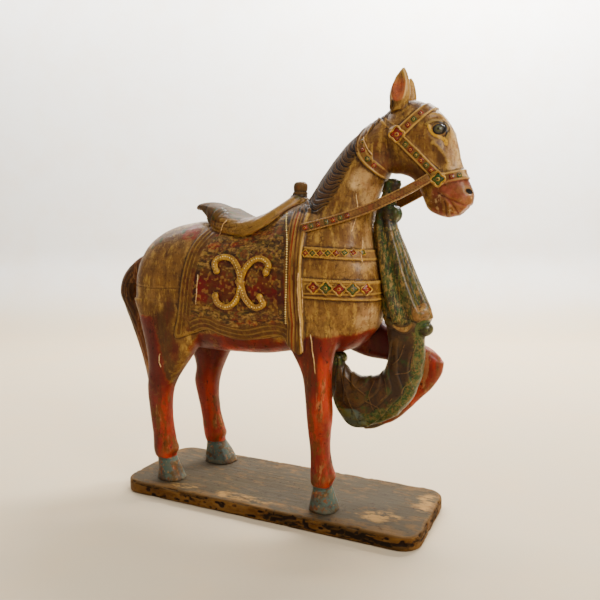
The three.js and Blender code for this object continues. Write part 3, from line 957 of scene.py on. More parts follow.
    def band_lines(self, x: np.ndarray) -> tuple[tuple[np.ndarray, float], ...]:
        """The height and half-width of the upper and the lower breast band."""
        return (552 - 0.06 * (x - 98), 10), (481 - 0.03 * (x - 98), 19)

    def breast_carving(self, p: np.ndarray) -> np.ndarray:
        """The two bands round the breast.

        Args:
            p: the points.

        Returns:
            One height per point, in millimetres.
        """
        x, _, z = p.T
        on = step_up(x, 99, 101.5) * (z > 420) * (z < 600)
        lift = np.zeros(len(x))
        for centre, half in self.band_lines(x):
            away = np.abs(z - centre)
            lift += self.strap_relief * step_up(half - away, -0.8, 0.8) * on
            lift += 1.1 * hump(away - half + 2.5, 1.4) * on
        lift += 0.8 * hump(np.abs(z - 481) - 9.5, 1.2) * on
        return lift

    def mane_carving(self, p: np.ndarray) -> np.ndarray:
        """Wavy locks lying down from the crest.

        Args:
            p: the points.

        Returns:
            One height per point, in millimetres.
        """
        x, _, z = p.T
        near = (x > 40) & (x < 275) & (z > 620)
        into = np.where(near, inside(x, z, curve(self.mane_outline)), -50)
        phase = self.strands(x, z)
        lock = np.abs(np.sin(phase * np.pi)) ** 0.7
        strand = np.abs(np.sin(phase * np.pi * 2 + 0.4))
        tips = 7.0 * lock
        on = step_up(into - 7 + tips, -1, 4)
        return on * (1.2 + 0.8 * (lock - 0.5) + 0.4 * (strand - 0.5))

    def strands(self, x: np.ndarray, z: np.ndarray) -> np.ndarray:
        """Which lock of the mane each point lies in; a strand falls from the crest and hooks forward.

        Args:
            x: the points' x.
            z: the points' z.

        Returns:
            The lock's number, with the place across it as its fraction.
        """
        down, run, _ = along_line(x, z, curve(self.crest))
        wander = 2.2 * np.sin(run / 9 + down / 11) + 1.4 * np.sin(run / 4.1 - down / 8)
        return (run + 30 * np.sin(np.pi * np.minimum(down, 80) / 68) + wander) / 12

    def head_carving(self, p: np.ndarray, n: np.ndarray) -> np.ndarray:
        """Bridle straps, eyes, cheek, nostrils, mouth and ear hollows.

        Args:
            p: the points.
            n: their normals.

        Returns:
            One height per point, in millimetres.
        """
        x, y, z = p.T
        side = np.abs(y)
        lift = np.zeros(len(x))
        head = (x > 225) & (z > 600)
        into = np.max(self.strap_fields(x, z), axis=0)
        lift += np.where(head, self.strap_relief * step_up(into, -0.8, 0.8), 0)
        lift += np.where(head, 1.1 * hump(into - 1.7, 1.2), 0)
        trace = along_line(x, z, self.neck_strap)[0]
        lift += np.where(head, 0.9 * hump(trace - 5, 1.3), 0)
        panel, border = self.collar_fields(x, z)
        rises = step_up(246 - x, 0, 12)
        leaf = 2.4 * step_up(panel, -0.9, 0.9) + 1.3 * hump(panel - 1.8, 1.3)
        lift += rises * (leaf + 1.1 * hump(border, 1.2))
        ring = self.eye_ring(x, z)
        eye = head & (side > 12) & (z > 740)
        lift += np.where(eye, 5.4 * np.sqrt(np.clip(1 - ring**2, 0, 1)), 0)
        lift -= np.where(eye, 2.0 * hump(ring - 1.5, 0.35), 0)
        for line, high, wide in ((self.upper_lid, 3.0, 3.0), (self.lower_lid, 1.8, 2.4)):
            gap = beside(x, z, line)
            lift += np.where(eye, high * hump(gap, wide), 0)
        ridge = beside(x, z, ((316, 800), (338, 805), (358, 792), (366, 770)))
        lift += np.where(eye, 2.4 * hump(ridge, 4.5), 0)
        for line, high, wide in (
            (((336, 752), (350, 738), (358, 722), (366, 704)), 1.2, 4.5),
            (((350, 760), (364, 735), (370, 712)), -1.4, 3.5),
            (((278, 775), (300, 752), (346, 706)), 1.2, 2.0),
        ):
            gap = beside(x, z, line)
            lift += np.where(head & (side > 8), high * hump(gap, wide), 0)
        hollow = np.hypot((x - 250) / 22, (z - 733) / 17)
        lift -= np.where((x > 222) & (z > 700), 5.5 * np.exp(-(hollow**2)), 0)
        cheek = np.hypot((x - 278) / 24, (z - 728) / 22)
        lift += np.where(head, 3.5 * np.exp(-(cheek**2)), 0)
        nostril = self.nostril(x, z)
        rolled = 0.5 * hump(nostril - 1.6, 0.5) - 4.2 * np.exp(-(nostril**4))
        lift += np.where(head & (side > 6), rolled, 0)
        mouth = beside(x, z, ((402, 636), (388, 640), (370, 648), (352, 657), (343, 662)))
        lift -= np.where(head, 1.5 * hump(mouth, 1.9), 0)
        for end in ((358, 621), (380, 625)):
            bend = ((350, 660), (0.5 * (350 + end[0]) + 4, 0.5 * (660 + end[1])), end)
            gap, run, _ = along_line(x, z, curve(bend))
            fold = 0.9 * hump(gap - 4, 3.2) - 0.8 * hump(gap, 2.0)
            lift += np.where(head & (side > 5), fold * step_up(run, 3, 12), 0)
        outwards = np.sign(y) * n[:, 1]
        for hand, tip in self.ear_tips:
            bowl = np.hypot((x - 267) / 14, (z - 0.5 * (tip + 832)) / (0.46 * (tip - 832)))
            this = (side > 17) & (z > 832) & (y * hand > 0)
            lift -= np.where(this, 6.0 * step_up(1.0 - bowl, 0, 0.7) * step_up(outwards, 0.1, 0.6), 0)
        return lift

    def strap_fields(self, x: np.ndarray, z: np.ndarray) -> list[np.ndarray]:
        """How far each point lies inside each strap of the bridle, in millimetres."""
        lines = (self.brow_strap, self.cheek_strap, self.nose_strap)
        return [half - along_line(x, z, line)[0] for line, half in zip(lines, self.strap_halves)]

    def collar_fields(self, x: np.ndarray, z: np.ndarray) -> tuple[np.ndarray, np.ndarray]:
        """The leaf-shaped collar behind the jaw.

        Args:
            x: the points' x.
            z: the points' z.

        Returns:
            How far inside the leaf each point lies, and how far from its border's inner line.
        """
        near = (x > 160) & (x < 270) & (z > 670)
        panel = np.where(near, inside(x, z, curve(self.collar_panel)), -40)
        gap = beside(x, z, self.collar)
        return panel, np.where(near & (panel > 0), gap - 7.5, -40)

    def nostril(self, x: np.ndarray, z: np.ndarray) -> np.ndarray:
        """The distance from a nostril's middle, 1 at its edge."""
        ex, ez = x - 398, z - 664
        return np.hypot((ex * 0.75 - ez * 0.66) / 6.4, (ex * 0.66 + ez * 0.75) / 4.2)

    def eye_ring(self, x: np.ndarray, z: np.ndarray) -> np.ndarray:
        """The distance from the eye's middle, 1 at the eyeball's edge."""
        ex, ez = (x - self.eye_at[0]) / 8.8, (z - self.eye_at[1]) / 8.6
        return np.hypot(ex * 0.86 + ez * 0.3, -ex * 0.3 + ez * 0.9)

    def leg_carving(self, p: np.ndarray) -> np.ndarray:
        """Tendons, knees and the step above each hoof.

        Args:
            p: the points.

        Returns:
            One height per point, in millimetres.
        """
        x, y, z = p.T
        lift = np.zeros(len(x))
        low = z < 330
        for rows in (self.near_foreleg, self.near_hind_leg, self.far_hind_leg):
            gap, _, _ = along_line(x, z, middles(rows))
            level = np.abs(y - rows[-1][5]) < 40
            lift -= np.where(low & level & (z > 110) & (z < 225), 0.5 * hump(gap, 6), 0)
        lift -= np.where(low, 0.9 * hump(z - 76, 5), 0) * (z < 90)
        lift += np.where(low, 0.25 * hump(z - 84, 3.5), 0) * (z < 100)
        lift += np.where(z < 70, 3.2 * step_up(70 - z, 0, 44), 0)
        return lift

    def tail_carving(self, p: np.ndarray) -> np.ndarray:
        """Long strands down the tail.

        Args:
            p: the points.

        Returns:
            One height per point, in millimetres.
        """
        x, y, z = p.T
        gap, run, hand = along_line(x, z, curve(middles(self.tail)))
        on = (np.abs(y) < 27) & (gap < 36) & (x < -300) & (run > 70)
        return np.where(on, 0.6 * np.sin((gap * hand + 4 * np.sin(run / 55)) * 0.62), 0)

    def paint_fields(self, p: np.ndarray, n: np.ndarray) -> dict[str, np.ndarray]:
        """The smooth fields that the paint's edges follow, positive inside each colour's place.

        Args:
            p: the points.
            n: their normals.

        Returns:
            One number per point under each field's name.
        """
        x, y, z = p.T
        side = np.abs(y)
        fields: dict[str, np.ndarray] = {}
        body = (x < 250) & (z > 330)
        cloth = inside(x, z, curve(self.cloth_outline))
        fields["cloth"] = np.where(body, cloth, np.minimum(cloth, -20))
        fields["cloth_rear"] = beside(x, z, self.cloth_rear)
        fields["cloth_hem"] = beside(x, z, self.cloth_hem)
        gap, _, hand = along_line(x, z, curve(self.skirt_hem))
        fields["seat"] = np.where((x > -215) & (x < 66) & (z > 575), gap * hand, -30)
        cantle = inside(x, z, ((-215, 660), (-215, 632), (-166, 632), (-150, 606), (-100, 612),
                               (-60, 614), (-40, 632), (-40, 670)))
        post = np.where((x > 20) & (x < 80), z - 656 - 0.2 * (x - 50), -30)
        fields["grey"] = np.maximum(np.where(side < 70, cantle, -30), np.where(side < 26, post, -30))
        near = (x > 40) & (x < 275) & (z > 610)
        phase = self.strands(x, z)
        tips = 7 - 7 * np.abs(np.sin(phase * np.pi)) ** 0.7
        fields["mane"] = np.where(near, inside(x, z, curve(self.mane_outline)) - tips, -50)
        fields["strand"] = phase
        # Painted shade: how far the red is darkened where shade falls, on the near hind leg's top, the far
        # hind leg, the far side of the raised foreleg and under the belly.
        deep = [
            np.where((x < -150) & (y < 0), step_up(z, 205, 262), 0),
            np.where((x < -100) & (y > 0), step_up(z, 130, 330), 0),
            np.where((x > 105) & (x < 300) & (y > 20), step_up(z, 250, 300) * step_up(345 - x, 0, 60), 0),
            0.75 * step_up(z, 325, 352) * (x < 215),
        ]
        fields["deep"] = np.max(deep, axis=0)
        chips = [blot * (y * spot[4] > 0) for blot, spot in zip(blots(x, z, self.chips), self.chips)]
        fields["chipped"] = np.max(chips, axis=0)
        upper, lower = (half - np.abs(z - centre) for centre, half in self.band_lines(x))
        fields["bands"] = np.where((x > 99) & (z > 420) & (z < 620), np.maximum(upper, lower), -40)
        head = (x > 200) & (z > 600)
        straps = np.max(self.strap_fields(x, z), axis=0)
        panel, border = self.collar_fields(x, z)
        fields["straps"] = np.maximum(np.where(head, straps, -40), np.where(panel > 0, -border, -40))
        fields["panel"] = panel
        fields["red"] = self.red_field(x, y, z)
        fields["stifle_shade"] = np.where(y < 0, inside(x, z, self.stifle_shade), -60)
        fields["hoof"] = np.where(z < 120, 80 - z, -40)
        raised = inside(x, z, ((160, 150), (215, 150), (238, 172), (200, 222), (160, 205)))
        fields["hoof"] = np.maximum(fields["hoof"], np.where(y > 20, raised, -40))
        face = head & (side > 8) & (z > 700)
        fields["eye"] = np.where(face, self.eye_ring(x, z), 9.0)
        for name, line, half in (("lid", self.upper_lid, 3.2), ("rim", self.lower_lid, 3.0)):
            gap = beside(x, z, line)
            fields[name] = np.where(face, half - gap, -20)
        streak = beside(x, z, ((332, 766), (342, 745), (349, 720)))
        fields["streak"] = np.where(face, 8 - streak, -20)
        jaw, _, _ = along_line(x, z, ((238, 740), (248, 712), (282, 702), (318, 680)))
        fields["jaw"] = np.where(z > 600, 20 - jaw, -30)
        fields["blaze"] = np.where((x > 300) & (z > 690) & (z < 850), 17 - side, -20)
        muzzle = inside(x, z, ((335, 610), (328, 640), (336, 672), (352, 682), (378, 686),
                               (402, 688), (414, 665), (412, 610)))
        fields["muzzle"] = np.where(head, muzzle, -40)
        nostril = self.nostril(x, z)
        fields["nostril"] = np.where(head & (side > 4), nostril, 9.0)
        outwards = np.sign(y) * n[:, 1]
        bowl = np.hypot((x - 266) / 12.5, (z - 861) / 29)
        ear = (side > 16) & (z > 830) & (x > 240) & (x < 296)
        fields["ear_in"] = np.where(ear, 1.0 - bowl + 0.3 * (outwards - 0.5), -1)
        fields["ear"] = np.where(ear, z - 836, -20)
        fields["rose"] = np.where(z > 420, islands(x, z, self.roses), -30)
        fields["rump_rose"] = np.where(y < 0, 17 - np.hypot((x + 182) * 0.8, z - 588), -30)
        fields["rump_leaf"] = islands(x, z, self.rump_leaves) - 40 * (y > 0)
        # How near the scrolls, for their dark ground, which is partly a painted contact shadow.
        scroll = np.min([beside(x, z, line) for line in Trim.scrolls], axis=0)
        fields["scroll"] = np.where((x > -140) & (x < 60) & (z > 410) & (z < 560), 13 - scroll, -20)
        fields["tail"] = np.where((x < -330) & (side < 30) & (z < 540), -336 - x + (470 - z) * 0.12, -30)
        fields["rubbed"] = np.max(blots(x, z, self.rubbed_and_lit_spots), axis=0)
        return fields

    def red_field(self, x: np.ndarray, y: np.ndarray, z: np.ndarray) -> np.ndarray:
        """Where the orange-red underside and legs begin.

        Args:
            x: the points' x.
            y: the points' y.
            z: the points' z.

        Returns:
            How far inside the red each point lies, in millimetres.
        """
        below = np.interp(x, *zip(*self.near_belly)) - z
        near = np.where(x < -150, np.minimum(below, -inside(x, z, self.thigh)), below)
        far = np.interp(x, *zip(*self.far_belly)) - z
        raised = np.where((x > 205) & (z < 410) & (y > 16), 30, -40)
        return np.maximum(np.where(y < 0, near, far), raised)


@dataclass(frozen=True)
class Paint:
    """A paint's colour as the eye reads it, from 0 to 255."""

    red: int
    green: int
    blue: int

    def linear(self) -> tuple[float, float, float, float]:
        """The colour in the renderer's own scale.

        Returns:
            Red, green, blue and 1.
        """
        parts = []
        for value in (self.red, self.green, self.blue):
            share = value / 255
            parts.append(share / 12.92 if share <= 0.04045 else ((share + 0.055) / 1.055) ** 2.4)
        return parts[0], parts[1], parts[2], 1.0


class Tone(Enum):
    """The statue's paints, as mixed for the studio's light."""

    GOLD = Paint(164, 121, 58)
    GILT = Paint(198, 152, 64)
    OCHRE = Paint(124, 84, 33)
    OCHRE_DEEP = Paint(88, 52, 8)
    UMBER = Paint(66, 37, 10)
    DARK = Paint(34, 17, 7)
    CREAM = Paint(226, 184, 120)
    RED = Paint(190, 50, 12)
    RED_MID = Paint(132, 32, 8)
    RED_DEEP = Paint(78, 11, 4)
    CRIMSON = Paint(104, 8, 8)
    TAN = Paint(166, 114, 62)
    OLIVE = Paint(81, 54, 12)
    TEAL = Paint(70, 86, 74)
    SLATE = Paint(66, 60, 50)
    GREEN = Paint(30, 62, 10)
    MOSS = Paint(84, 84, 32)
    PINK = Paint(146, 70, 48)
    ORANGE = Paint(176, 72, 32)
    YELLOW = Paint(186, 136, 22)
    IVORY = Paint(240, 216, 136)
    BLACK = Paint(10, 7, 5)
    BOARD = Paint(64, 54, 36)
    BOARD_DARK = Paint(56, 42, 26)
    EDGE = Paint(112, 76, 30)
    RUST = Paint(118, 54, 22)
    TAIL = Paint(112, 58, 22)
    WALL = Paint(236, 234, 228)
    FLOOR = Paint(202, 184, 154)


Socket = bpy.types.NodeSocket
Value = Socket | Tone | float | tuple


# The mix node's sockets: its share, its two numbers and its two colours.
MIX_SHARE = 0
MIX_NUMBERS = (2, 3)
MIX_COLOURS = (6, 7)


@dataclass
class Graph:
    """Writes a shader's nodes in a compact way."""

    tree: bpy.types.NodeTree

    def node(self, kind: str, **settings: object) -> bpy.types.Node:
        """A new node.

        Args:
            kind: its type.
            settings: its properties.

        Returns:
            The node.
        """
        made = self.tree.nodes.new(kind)
        for name, value in settings.items():
            setattr(made, name, value)
        return made

    def feed(self, socket: Socket, value: Value | None) -> None:
        """Links a socket to another, or sets its constant.

        Args:
            socket: the input.
            value: a socket, a Tone, a number or numbers.
        """
        if isinstance(value, Socket):
            self.tree.links.new(value, socket)
        elif isinstance(value, Tone):
            socket.default_value = value.value.linear()
        elif value is not None:
            socket.default_value = value

    def math(self, operation: str, *values: Value) -> Socket:
        """A math node's result.

        Args:
            operation: which.
            values: its inputs in order.

        Returns:
            The result.
        """
        made = self.node("ShaderNodeMath", operation=operation)
        for socket, value in zip(made.inputs, values):
            self.feed(socket, value)
        return made.outputs[0]

    def chain(self, operation: str, values: Sequence[Value]) -> Value:
        """One operation worked through several values.

        Args:
            operation: which.
            values: what it runs through, in order.

        Returns:
            The result.
        """
        result = values[0]
        for value in values[1:]:
            result = self.math(operation, result, value)
        return result

    def total(self, *values: Value) -> Value:
        """The sum of several values."""
        return self.chain("ADD", values)

    def product(self, *values: Value) -> Value:
        """The product of several values."""
        return self.chain("MULTIPLY", values)

    def most(self, *values: Value) -> Value:
        """The largest of several values."""
        return self.chain("MAXIMUM", values)

    def inverse(self, value: Value) -> Socket:
        """1 minus a value."""
        return self.math("SUBTRACT", 1.0, value)

    def rise(self, value: Value, low: Value, high: Value) -> Socket:
        """A smooth rise.

        Args:
            value: what is measured.
            low: where it starts.
            high: where it ends, which may be under low.

        Returns:
            0 at low, 1 at high.
        """
        made = self.node("ShaderNodeMapRange", interpolation_type="SMOOTHSTEP", clamp=True)
        for name, given in (("Value", value), ("From Min", low), ("From Max", high)):
            self.feed(made.inputs[name], given)
        return made.outputs[0]

    def mix(self, share: Value, first: Value, second: Value) -> Socket:
        """A mix of two colours.

        Args:
            share: how much of the second.
            first: a colour.
            second: the other.

        Returns:
            The colour.
        """
        made = self.node("ShaderNodeMix", data_type="RGBA")
        for slot, value in zip((MIX_SHARE, *MIX_COLOURS), (share, first, second)):
            self.feed(made.inputs[slot], value)
        return made.outputs[2]

    def both_edges(self, value: Value, low: float, high: float) -> Socket:
        """1 between low and high, in the value's own unit.

        Args:
            value: what is measured.
            low: one edge.
            high: the other.

        Returns:
            The mask.
        """
        soft = (high - low) * 0.12
        rises = self.rise(value, low - soft, low + soft)
        return self.product(rises, self.rise(value, high + soft, high - soft))

    def axis(self, vector: Value, name: str) -> Socket:
        """A vector's X, Y or Z.

        Args:
            vector: the vector.
            name: which.

        Returns:
            The number.
        """
        made = self.node("ShaderNodeSeparateXYZ")
        self.feed(made.inputs[0], vector)
        return made.outputs[name]

    def field(self, name: str) -> Socket:
        """A number stored on the mesh's points."""
        return self.node("ShaderNodeAttribute", attribute_name=name).outputs["Fac"]

    def place(self, scale: Sequence[float] = (1, 1, 1), turn: Sequence[float] = (0, 0, 0)) -> Socket:
        """The object's own coordinates.

        Args:
            scale: their stretch.
            turn: their turn.

        Returns:
            The coordinates.
        """
        made = self.node("ShaderNodeMapping")
        self.feed(made.inputs["Vector"], self.node("ShaderNodeTexCoord").outputs["Object"])
        made.inputs["Scale"].default_value = tuple(scale)
        made.inputs["Rotation"].default_value = tuple(turn)
        return made.outputs[0]

    def noise(self, vector: Value, scale: Value, detail: float = 4, rough: float = 0.55) -> Socket:
        """Noise from 0 to 1.

        Args:
            vector: where.
            scale: how fine.
            detail: its octaves.
            rough: their weight.

        Returns:
            The noise.
        """
        made = self.node("ShaderNodeTexNoise")
        for name, value in (("Vector", vector), ("Scale", scale), ("Detail", detail), ("Roughness", rough)):
            self.feed(made.inputs[name], value)
        return made.outputs[0]

    def stray(self, vector: Value, scale: float, detail: float, rough: float, reach: float) -> Socket:
        """Noise to both sides of 0.

        Args:
            vector: where.
            scale: how fine.
            detail: its octaves.
            rough: their weight.
            reach: how far apart its ends lie.

        Returns:
            The noise.
        """
        return self.product(self.math("SUBTRACT", self.noise(vector, scale, detail, rough), 0.5), reach)

    def use(self, group: bpy.types.NodeTree, **values: Value) -> dict[str, Socket]:
        """Puts a node group in.

        Args:
            group: the group.
            values: its inputs, with underscores for spaces.

        Returns:
            Its outputs by name.
        """
        made = self.node("ShaderNodeGroup", node_tree=group)
        for name, value in values.items():
            self.feed(made.inputs[name.replace("_", " ").capitalize()], value)
        return {socket.name: socket for socket in made.outputs}


def new_group(
    name: str, inputs: Sequence[tuple[str, float | None]], outputs: Sequence[str]
) -> tuple[Graph, dict[str, Socket], dict[str, Socket]]:
    """A shader node group with named sockets.

    Args:
        name: its name.
        inputs: each input's name with its default, or None for a vector.
        outputs: the names of its masks.

    Returns:
        Its graph, its inputs and its outputs, seen from inside the group.
    """
    tree = bpy.data.node_groups.new(name, "ShaderNodeTree")
    for title, default in inputs:
        kind = "NodeSocketVector" if default is None else "NodeSocketFloat"
        socket = tree.interface.new_socket(name=title, in_out="INPUT", socket_type=kind)
        if default is not None:
            socket.default_value = default
    for title in outputs:
        tree.interface.new_socket(name=title, in_out="OUTPUT", socket_type="NodeSocketFloat")
    graph = Graph(tree)
    entry = graph.node("NodeGroupInput")
    leave = graph.node("NodeGroupOutput")
    return graph, {s.name: s for s in entry.outputs}, {s.name: s for s in leave.inputs}


@dataclass(frozen=True)
class Effects:
    """The node groups that the finishes share."""

    patches: bpy.types.NodeTree
    wear: bpy.types.NodeTree
    grain: bpy.types.NodeTree
    crackle: bpy.types.NodeTree
    dust: bpy.types.NodeTree


def patches_group() -> bpy.types.NodeTree:
    """Ragged patches, where paint has gone or another colour shows.

    Returns:
        The group.
    """
    inputs = (("Vector", None), ("Scale", 30.0), ("Amount", 0.4), ("Softness", 0.03))
    graph, given, out = new_group("worn_patches", inputs, ("Mask",))
    ragged = graph.noise(given["Vector"], given["Scale"], 6, 0.66)
    edge = graph.math("SUBTRACT", 0.7, graph.product(given["Amount"], 0.4))
    low = graph.math("SUBTRACT", edge, given["Softness"])
    graph.feed(out["Mask"], graph.rise(ragged, low, graph.total(edge, given["Softness"])))
    return graph.tree


def wear_group() -> bpy.types.NodeTree:
    """Rubbed ridges and darker hollows, from the carving's own depth.

    Returns:
        The group.
    """
    inputs = (("Vector", None), ("Fine", 0.0), ("Wide", 0.0), ("Ridge reach", 0.22), ("Hollow reach", 0.3))
    graph, given, out = new_group("edge_wear", inputs, ("Ridge", "Hollow"))
    depth = graph.total(given["Fine"], graph.product(given["Wide"], 0.12))
    risen = graph.math("DIVIDE", graph.product(depth, -1.0), given["Ridge reach"])
    sunk = graph.math("DIVIDE", depth, given["Hollow reach"])
    uneven = graph.stray(given["Vector"], 120, 5, 0.6, 1.6)
    graph.feed(out["Ridge"], graph.rise(graph.total(risen, uneven), 0.25, 1.0))
    graph.feed(out["Hollow"], graph.rise(graph.total(sunk, graph.product(uneven, 0.5)), 0.1, 1.5))
    return graph.tree


def grain_group() -> bpy.types.NodeTree:
    """Long wood grain and the brush's streaks.

    Returns:
        The group.
    """
    graph, given, out = new_group("wood_grain", (("Vector", None), ("Scale", 60.0)), ("Streaks", "Pores"))
    long = graph.node("ShaderNodeMapping")
    graph.feed(long.inputs["Vector"], given["Vector"])
    long.inputs["Scale"].default_value = (0.09, 1.0, 1.0)
    for name, factor, detail in (("Streaks", 1.0, 6.0), ("Pores", 5.0, 2.0)):
        fine = graph.noise(long.outputs[0], graph.product(given["Scale"], factor), detail, 0.6)
        graph.feed(out[name], graph.rise(fine, 0.34, 0.66))
    return graph.tree


def crackle_group() -> bpy.types.NodeTree:
    """Fine cracks in the paint.

    Returns:
        The group.
    """
    inputs = (("Vector", None), ("Scale", 90.0), ("Width", 0.05))
    graph, given, out = new_group("crackle", inputs, ("Cracks",))
    sway = graph.node("ShaderNodeTexNoise")
    graph.feed(sway.inputs["Vector"], given["Vector"])
    sway.inputs["Scale"].default_value = 60
    small = graph.node("ShaderNodeVectorMath", operation="SCALE")
    graph.feed(small.inputs[0], sway.outputs["Color"])
    small.inputs["Scale"].default_value = 0.012
    bent = graph.node("ShaderNodeVectorMath", operation="ADD")
    graph.feed(bent.inputs[0], given["Vector"])
    graph.feed(bent.inputs[1], small.outputs[0])
    cells = graph.node("ShaderNodeTexVoronoi", feature="DISTANCE_TO_EDGE")
    graph.feed(cells.inputs["Vector"], bent.outputs[0])
    graph.feed(cells.inputs["Scale"], given["Scale"])
    thin = graph.math("DIVIDE", cells.outputs["Distance"], given["Width"])
    here = graph.rise(graph.noise(given["Vector"], 16, 3), 0.5, 0.66)
    graph.feed(out["Cracks"], graph.product(graph.rise(thin, 1.0, 0.2), here))
    return graph.tree


def dust_group() -> bpy.types.NodeTree:
    """Grey dust that has settled on what faces up.

    Returns:
        The group.
    """
    graph, given, out = new_group("settled_dust", (("Vector", None), ("Amount", 0.4)), ("Dust",))
    up = graph.axis(graph.node("ShaderNodeNewGeometry").outputs["Normal"], "Z")
    uneven = graph.rise(graph.noise(given["Vector"], 45, 5), 0.3, 0.7)
    graph.feed(out["Dust"], graph.product(graph.rise(up, 0.35, 0.95), uneven, given["Amount"]))
    return graph.tree


@dataclass(frozen=True)
class Fleck:
    """Ragged patches of one paint; tall and long under 1 stretch them along z and x."""

    tone: Tone
    share: float
    scale: float
    amount: float
    softness: float = 0.03
    tall: float = 1.0
    long: float = 1.0
    rough: float | None = None
    raised: float = 0.0


@dataclass
class Coat:
    """Builds a finish up in layers, each covering part of what lies under it."""

    name: str
    effects: Effects
    ground: Tone
    gloss: float = 0.5
    shine: float = 0.25
    varnish: float = 0.14

    def __post_init__(self) -> None:
        """Starts the material with its ground colour."""
        self.material = bpy.data.materials.new(self.name)
        self.material.use_nodes = True
        self.graph = Graph(self.material.node_tree)
        self.shader = self.material.node_tree.nodes["Principled BSDF"]
        self.vector = self.graph.place()
        self.colour: Value = self.ground
        self.rough: Value = self.gloss
        self.height: Value = 0.0

    def patches(
        self, scale: float, amount: float, softness: float = 0.03, tall: float = 1.0, long: float = 1.0
    ) -> Socket:
        """A ragged mask.

        Args:
            scale: how fine.
            amount: how much it covers, from 0 to 1.
            softness: how soft its edge is.
            tall: under 1, stretches it along z.
            long: under 1, stretches it along x.

        Returns:
            The mask.
        """
        where = self.vector if tall == long == 1.0 else self.graph.place((long, 1, tall))
        values = {"scale": scale, "amount": amount, "softness": softness}
        return self.graph.use(self.effects.patches, vector=where, **values)["Mask"]

    def blend(self, first: Tone, second: Tone, *ragged: float) -> Socket:
        """A ground of one paint with patches of a second.

        Args:
            first: the ground.
            second: the patches.
            ragged: the patches' numbers, as for patches().

        Returns:
            The colour.
        """
        return self.graph.mix(self.patches(*ragged), first, second)

    def zone(
        self, name: str, edge: float = 1.0, ragged: float = 0.0, scale: float = 60, at: float = 0.0
    ) -> Socket:
        """A mask inside a stored field.

        Args:
            name: the field, in millimetres and positive inside.
            edge: how soft its edge is.
            ragged: how far the edge wanders.
            scale: how fine it wanders.
            at: moves the edge inwards.

        Returns:
            The mask.
        """
        value: Value = self.graph.field(name)
        if ragged:
            value = self.graph.total(value, self.graph.stray(self.vector, scale, 5, 0.65, ragged * 3))
        return self.graph.rise(value, at - edge, at + edge)

    def cover(
        self, masks: Value | Sequence[Value], colour: Value, rough: float | None = None, raised: float = 0.0
    ) -> None:
        """Lays a colour over what is there.

        Args:
            masks: where, as one mask or several that are multiplied.
            colour: the colour.
            rough: its roughness, if it has its own.
            raised: its thickness, in millimetres.
        """
        mask = self.graph.product(*masks) if isinstance(masks, tuple) else masks
        self.colour = self.graph.mix(mask, self.colour, colour)
        if rough is not None:
            made = self.graph.node("ShaderNodeMix")
            for slot, value in zip((MIX_SHARE, *MIX_NUMBERS), (mask, self.rough, rough)):
                self.graph.feed(made.inputs[slot], value)
            self.rough = made.outputs[0]
        if raised:
            self.height = self.graph.total(self.height, self.graph.product(mask, raised))

    def flecks(self, where: Value, *flecks: Fleck) -> None:
        """Scatters patches of paint.

        Args:
            where: the mask that they keep to.
            flecks: the patches, in order.
        """
        for fleck in flecks:
            ragged = self.patches(fleck.scale, fleck.amount, fleck.softness, fleck.tall, fleck.long)
            self.cover((where, ragged, fleck.share), fleck.tone, fleck.rough, fleck.raised)

    def relief(self, fine: float, fine_height: float, coarse: float, coarse_height: float) -> None:
        """Starts the small relief with two noises.

        Args:
            fine: the scale of the finer one.
            fine_height: its height, in millimetres.
            coarse: the scale of the coarser one.
            coarse_height: its height.
        """
        small = self.graph.product(self.graph.noise(self.vector, fine, 4, 0.6), fine_height)
        large = self.graph.product(self.graph.noise(self.vector, coarse, 4), coarse_height)
        self.height = self.graph.total(small, large)

    def worn(
        self, ridge: Tone, ridge_share: float, hollow: Tone, hollow_share: float,
        reach: tuple[float, float], where: Value = 1.0,
    ) -> None:
        """Rubs the ridges and darkens the hollows.

        Args:
            ridge: the colour that shows on ridges.
            ridge_share: how strongly.
            hollow: the colour laid in the hollows.
            hollow_share: how strongly.
            reach: the depths, in millimetres, at which each is full.
            where: a mask.
        """
        fine, wide = (self.graph.field(name) for name in ("hollow_fine", "hollow_wide"))
        depth = self.graph.use(
            self.effects.wear, vector=self.vector, fine=fine, wide=wide,
            ridge_reach=reach[0], hollow_reach=reach[1],
        )
        self.cover((depth["Hollow"], hollow_share, where), hollow, 0.75)
        self.cover((depth["Ridge"], ridge_share, where), ridge)

    def done(self, bump: float) -> bpy.types.Material:
        """Connects the layers to the shader.

        Args:
            bump: how strongly the small relief shows.

        Returns:
            The material.
        """
        graph = self.graph
        graph.feed(self.shader.inputs["Base Color"], self.colour)
        graph.feed(self.shader.inputs["Roughness"], self.rough)
        for name, value in (
            ("Specular IOR Level", self.shine), ("Coat Weight", self.varnish), ("Coat Roughness", 0.2),
        ):
            self.shader.inputs[name].default_value = value
        relief = graph.node("ShaderNodeBump")
        for name, value in (("Strength", bump), ("Distance", MM), ("Height", self.height)):
            graph.feed(relief.inputs[name], value)
        graph.feed(self.shader.inputs["Normal"], relief.outputs[0])
        return self.material


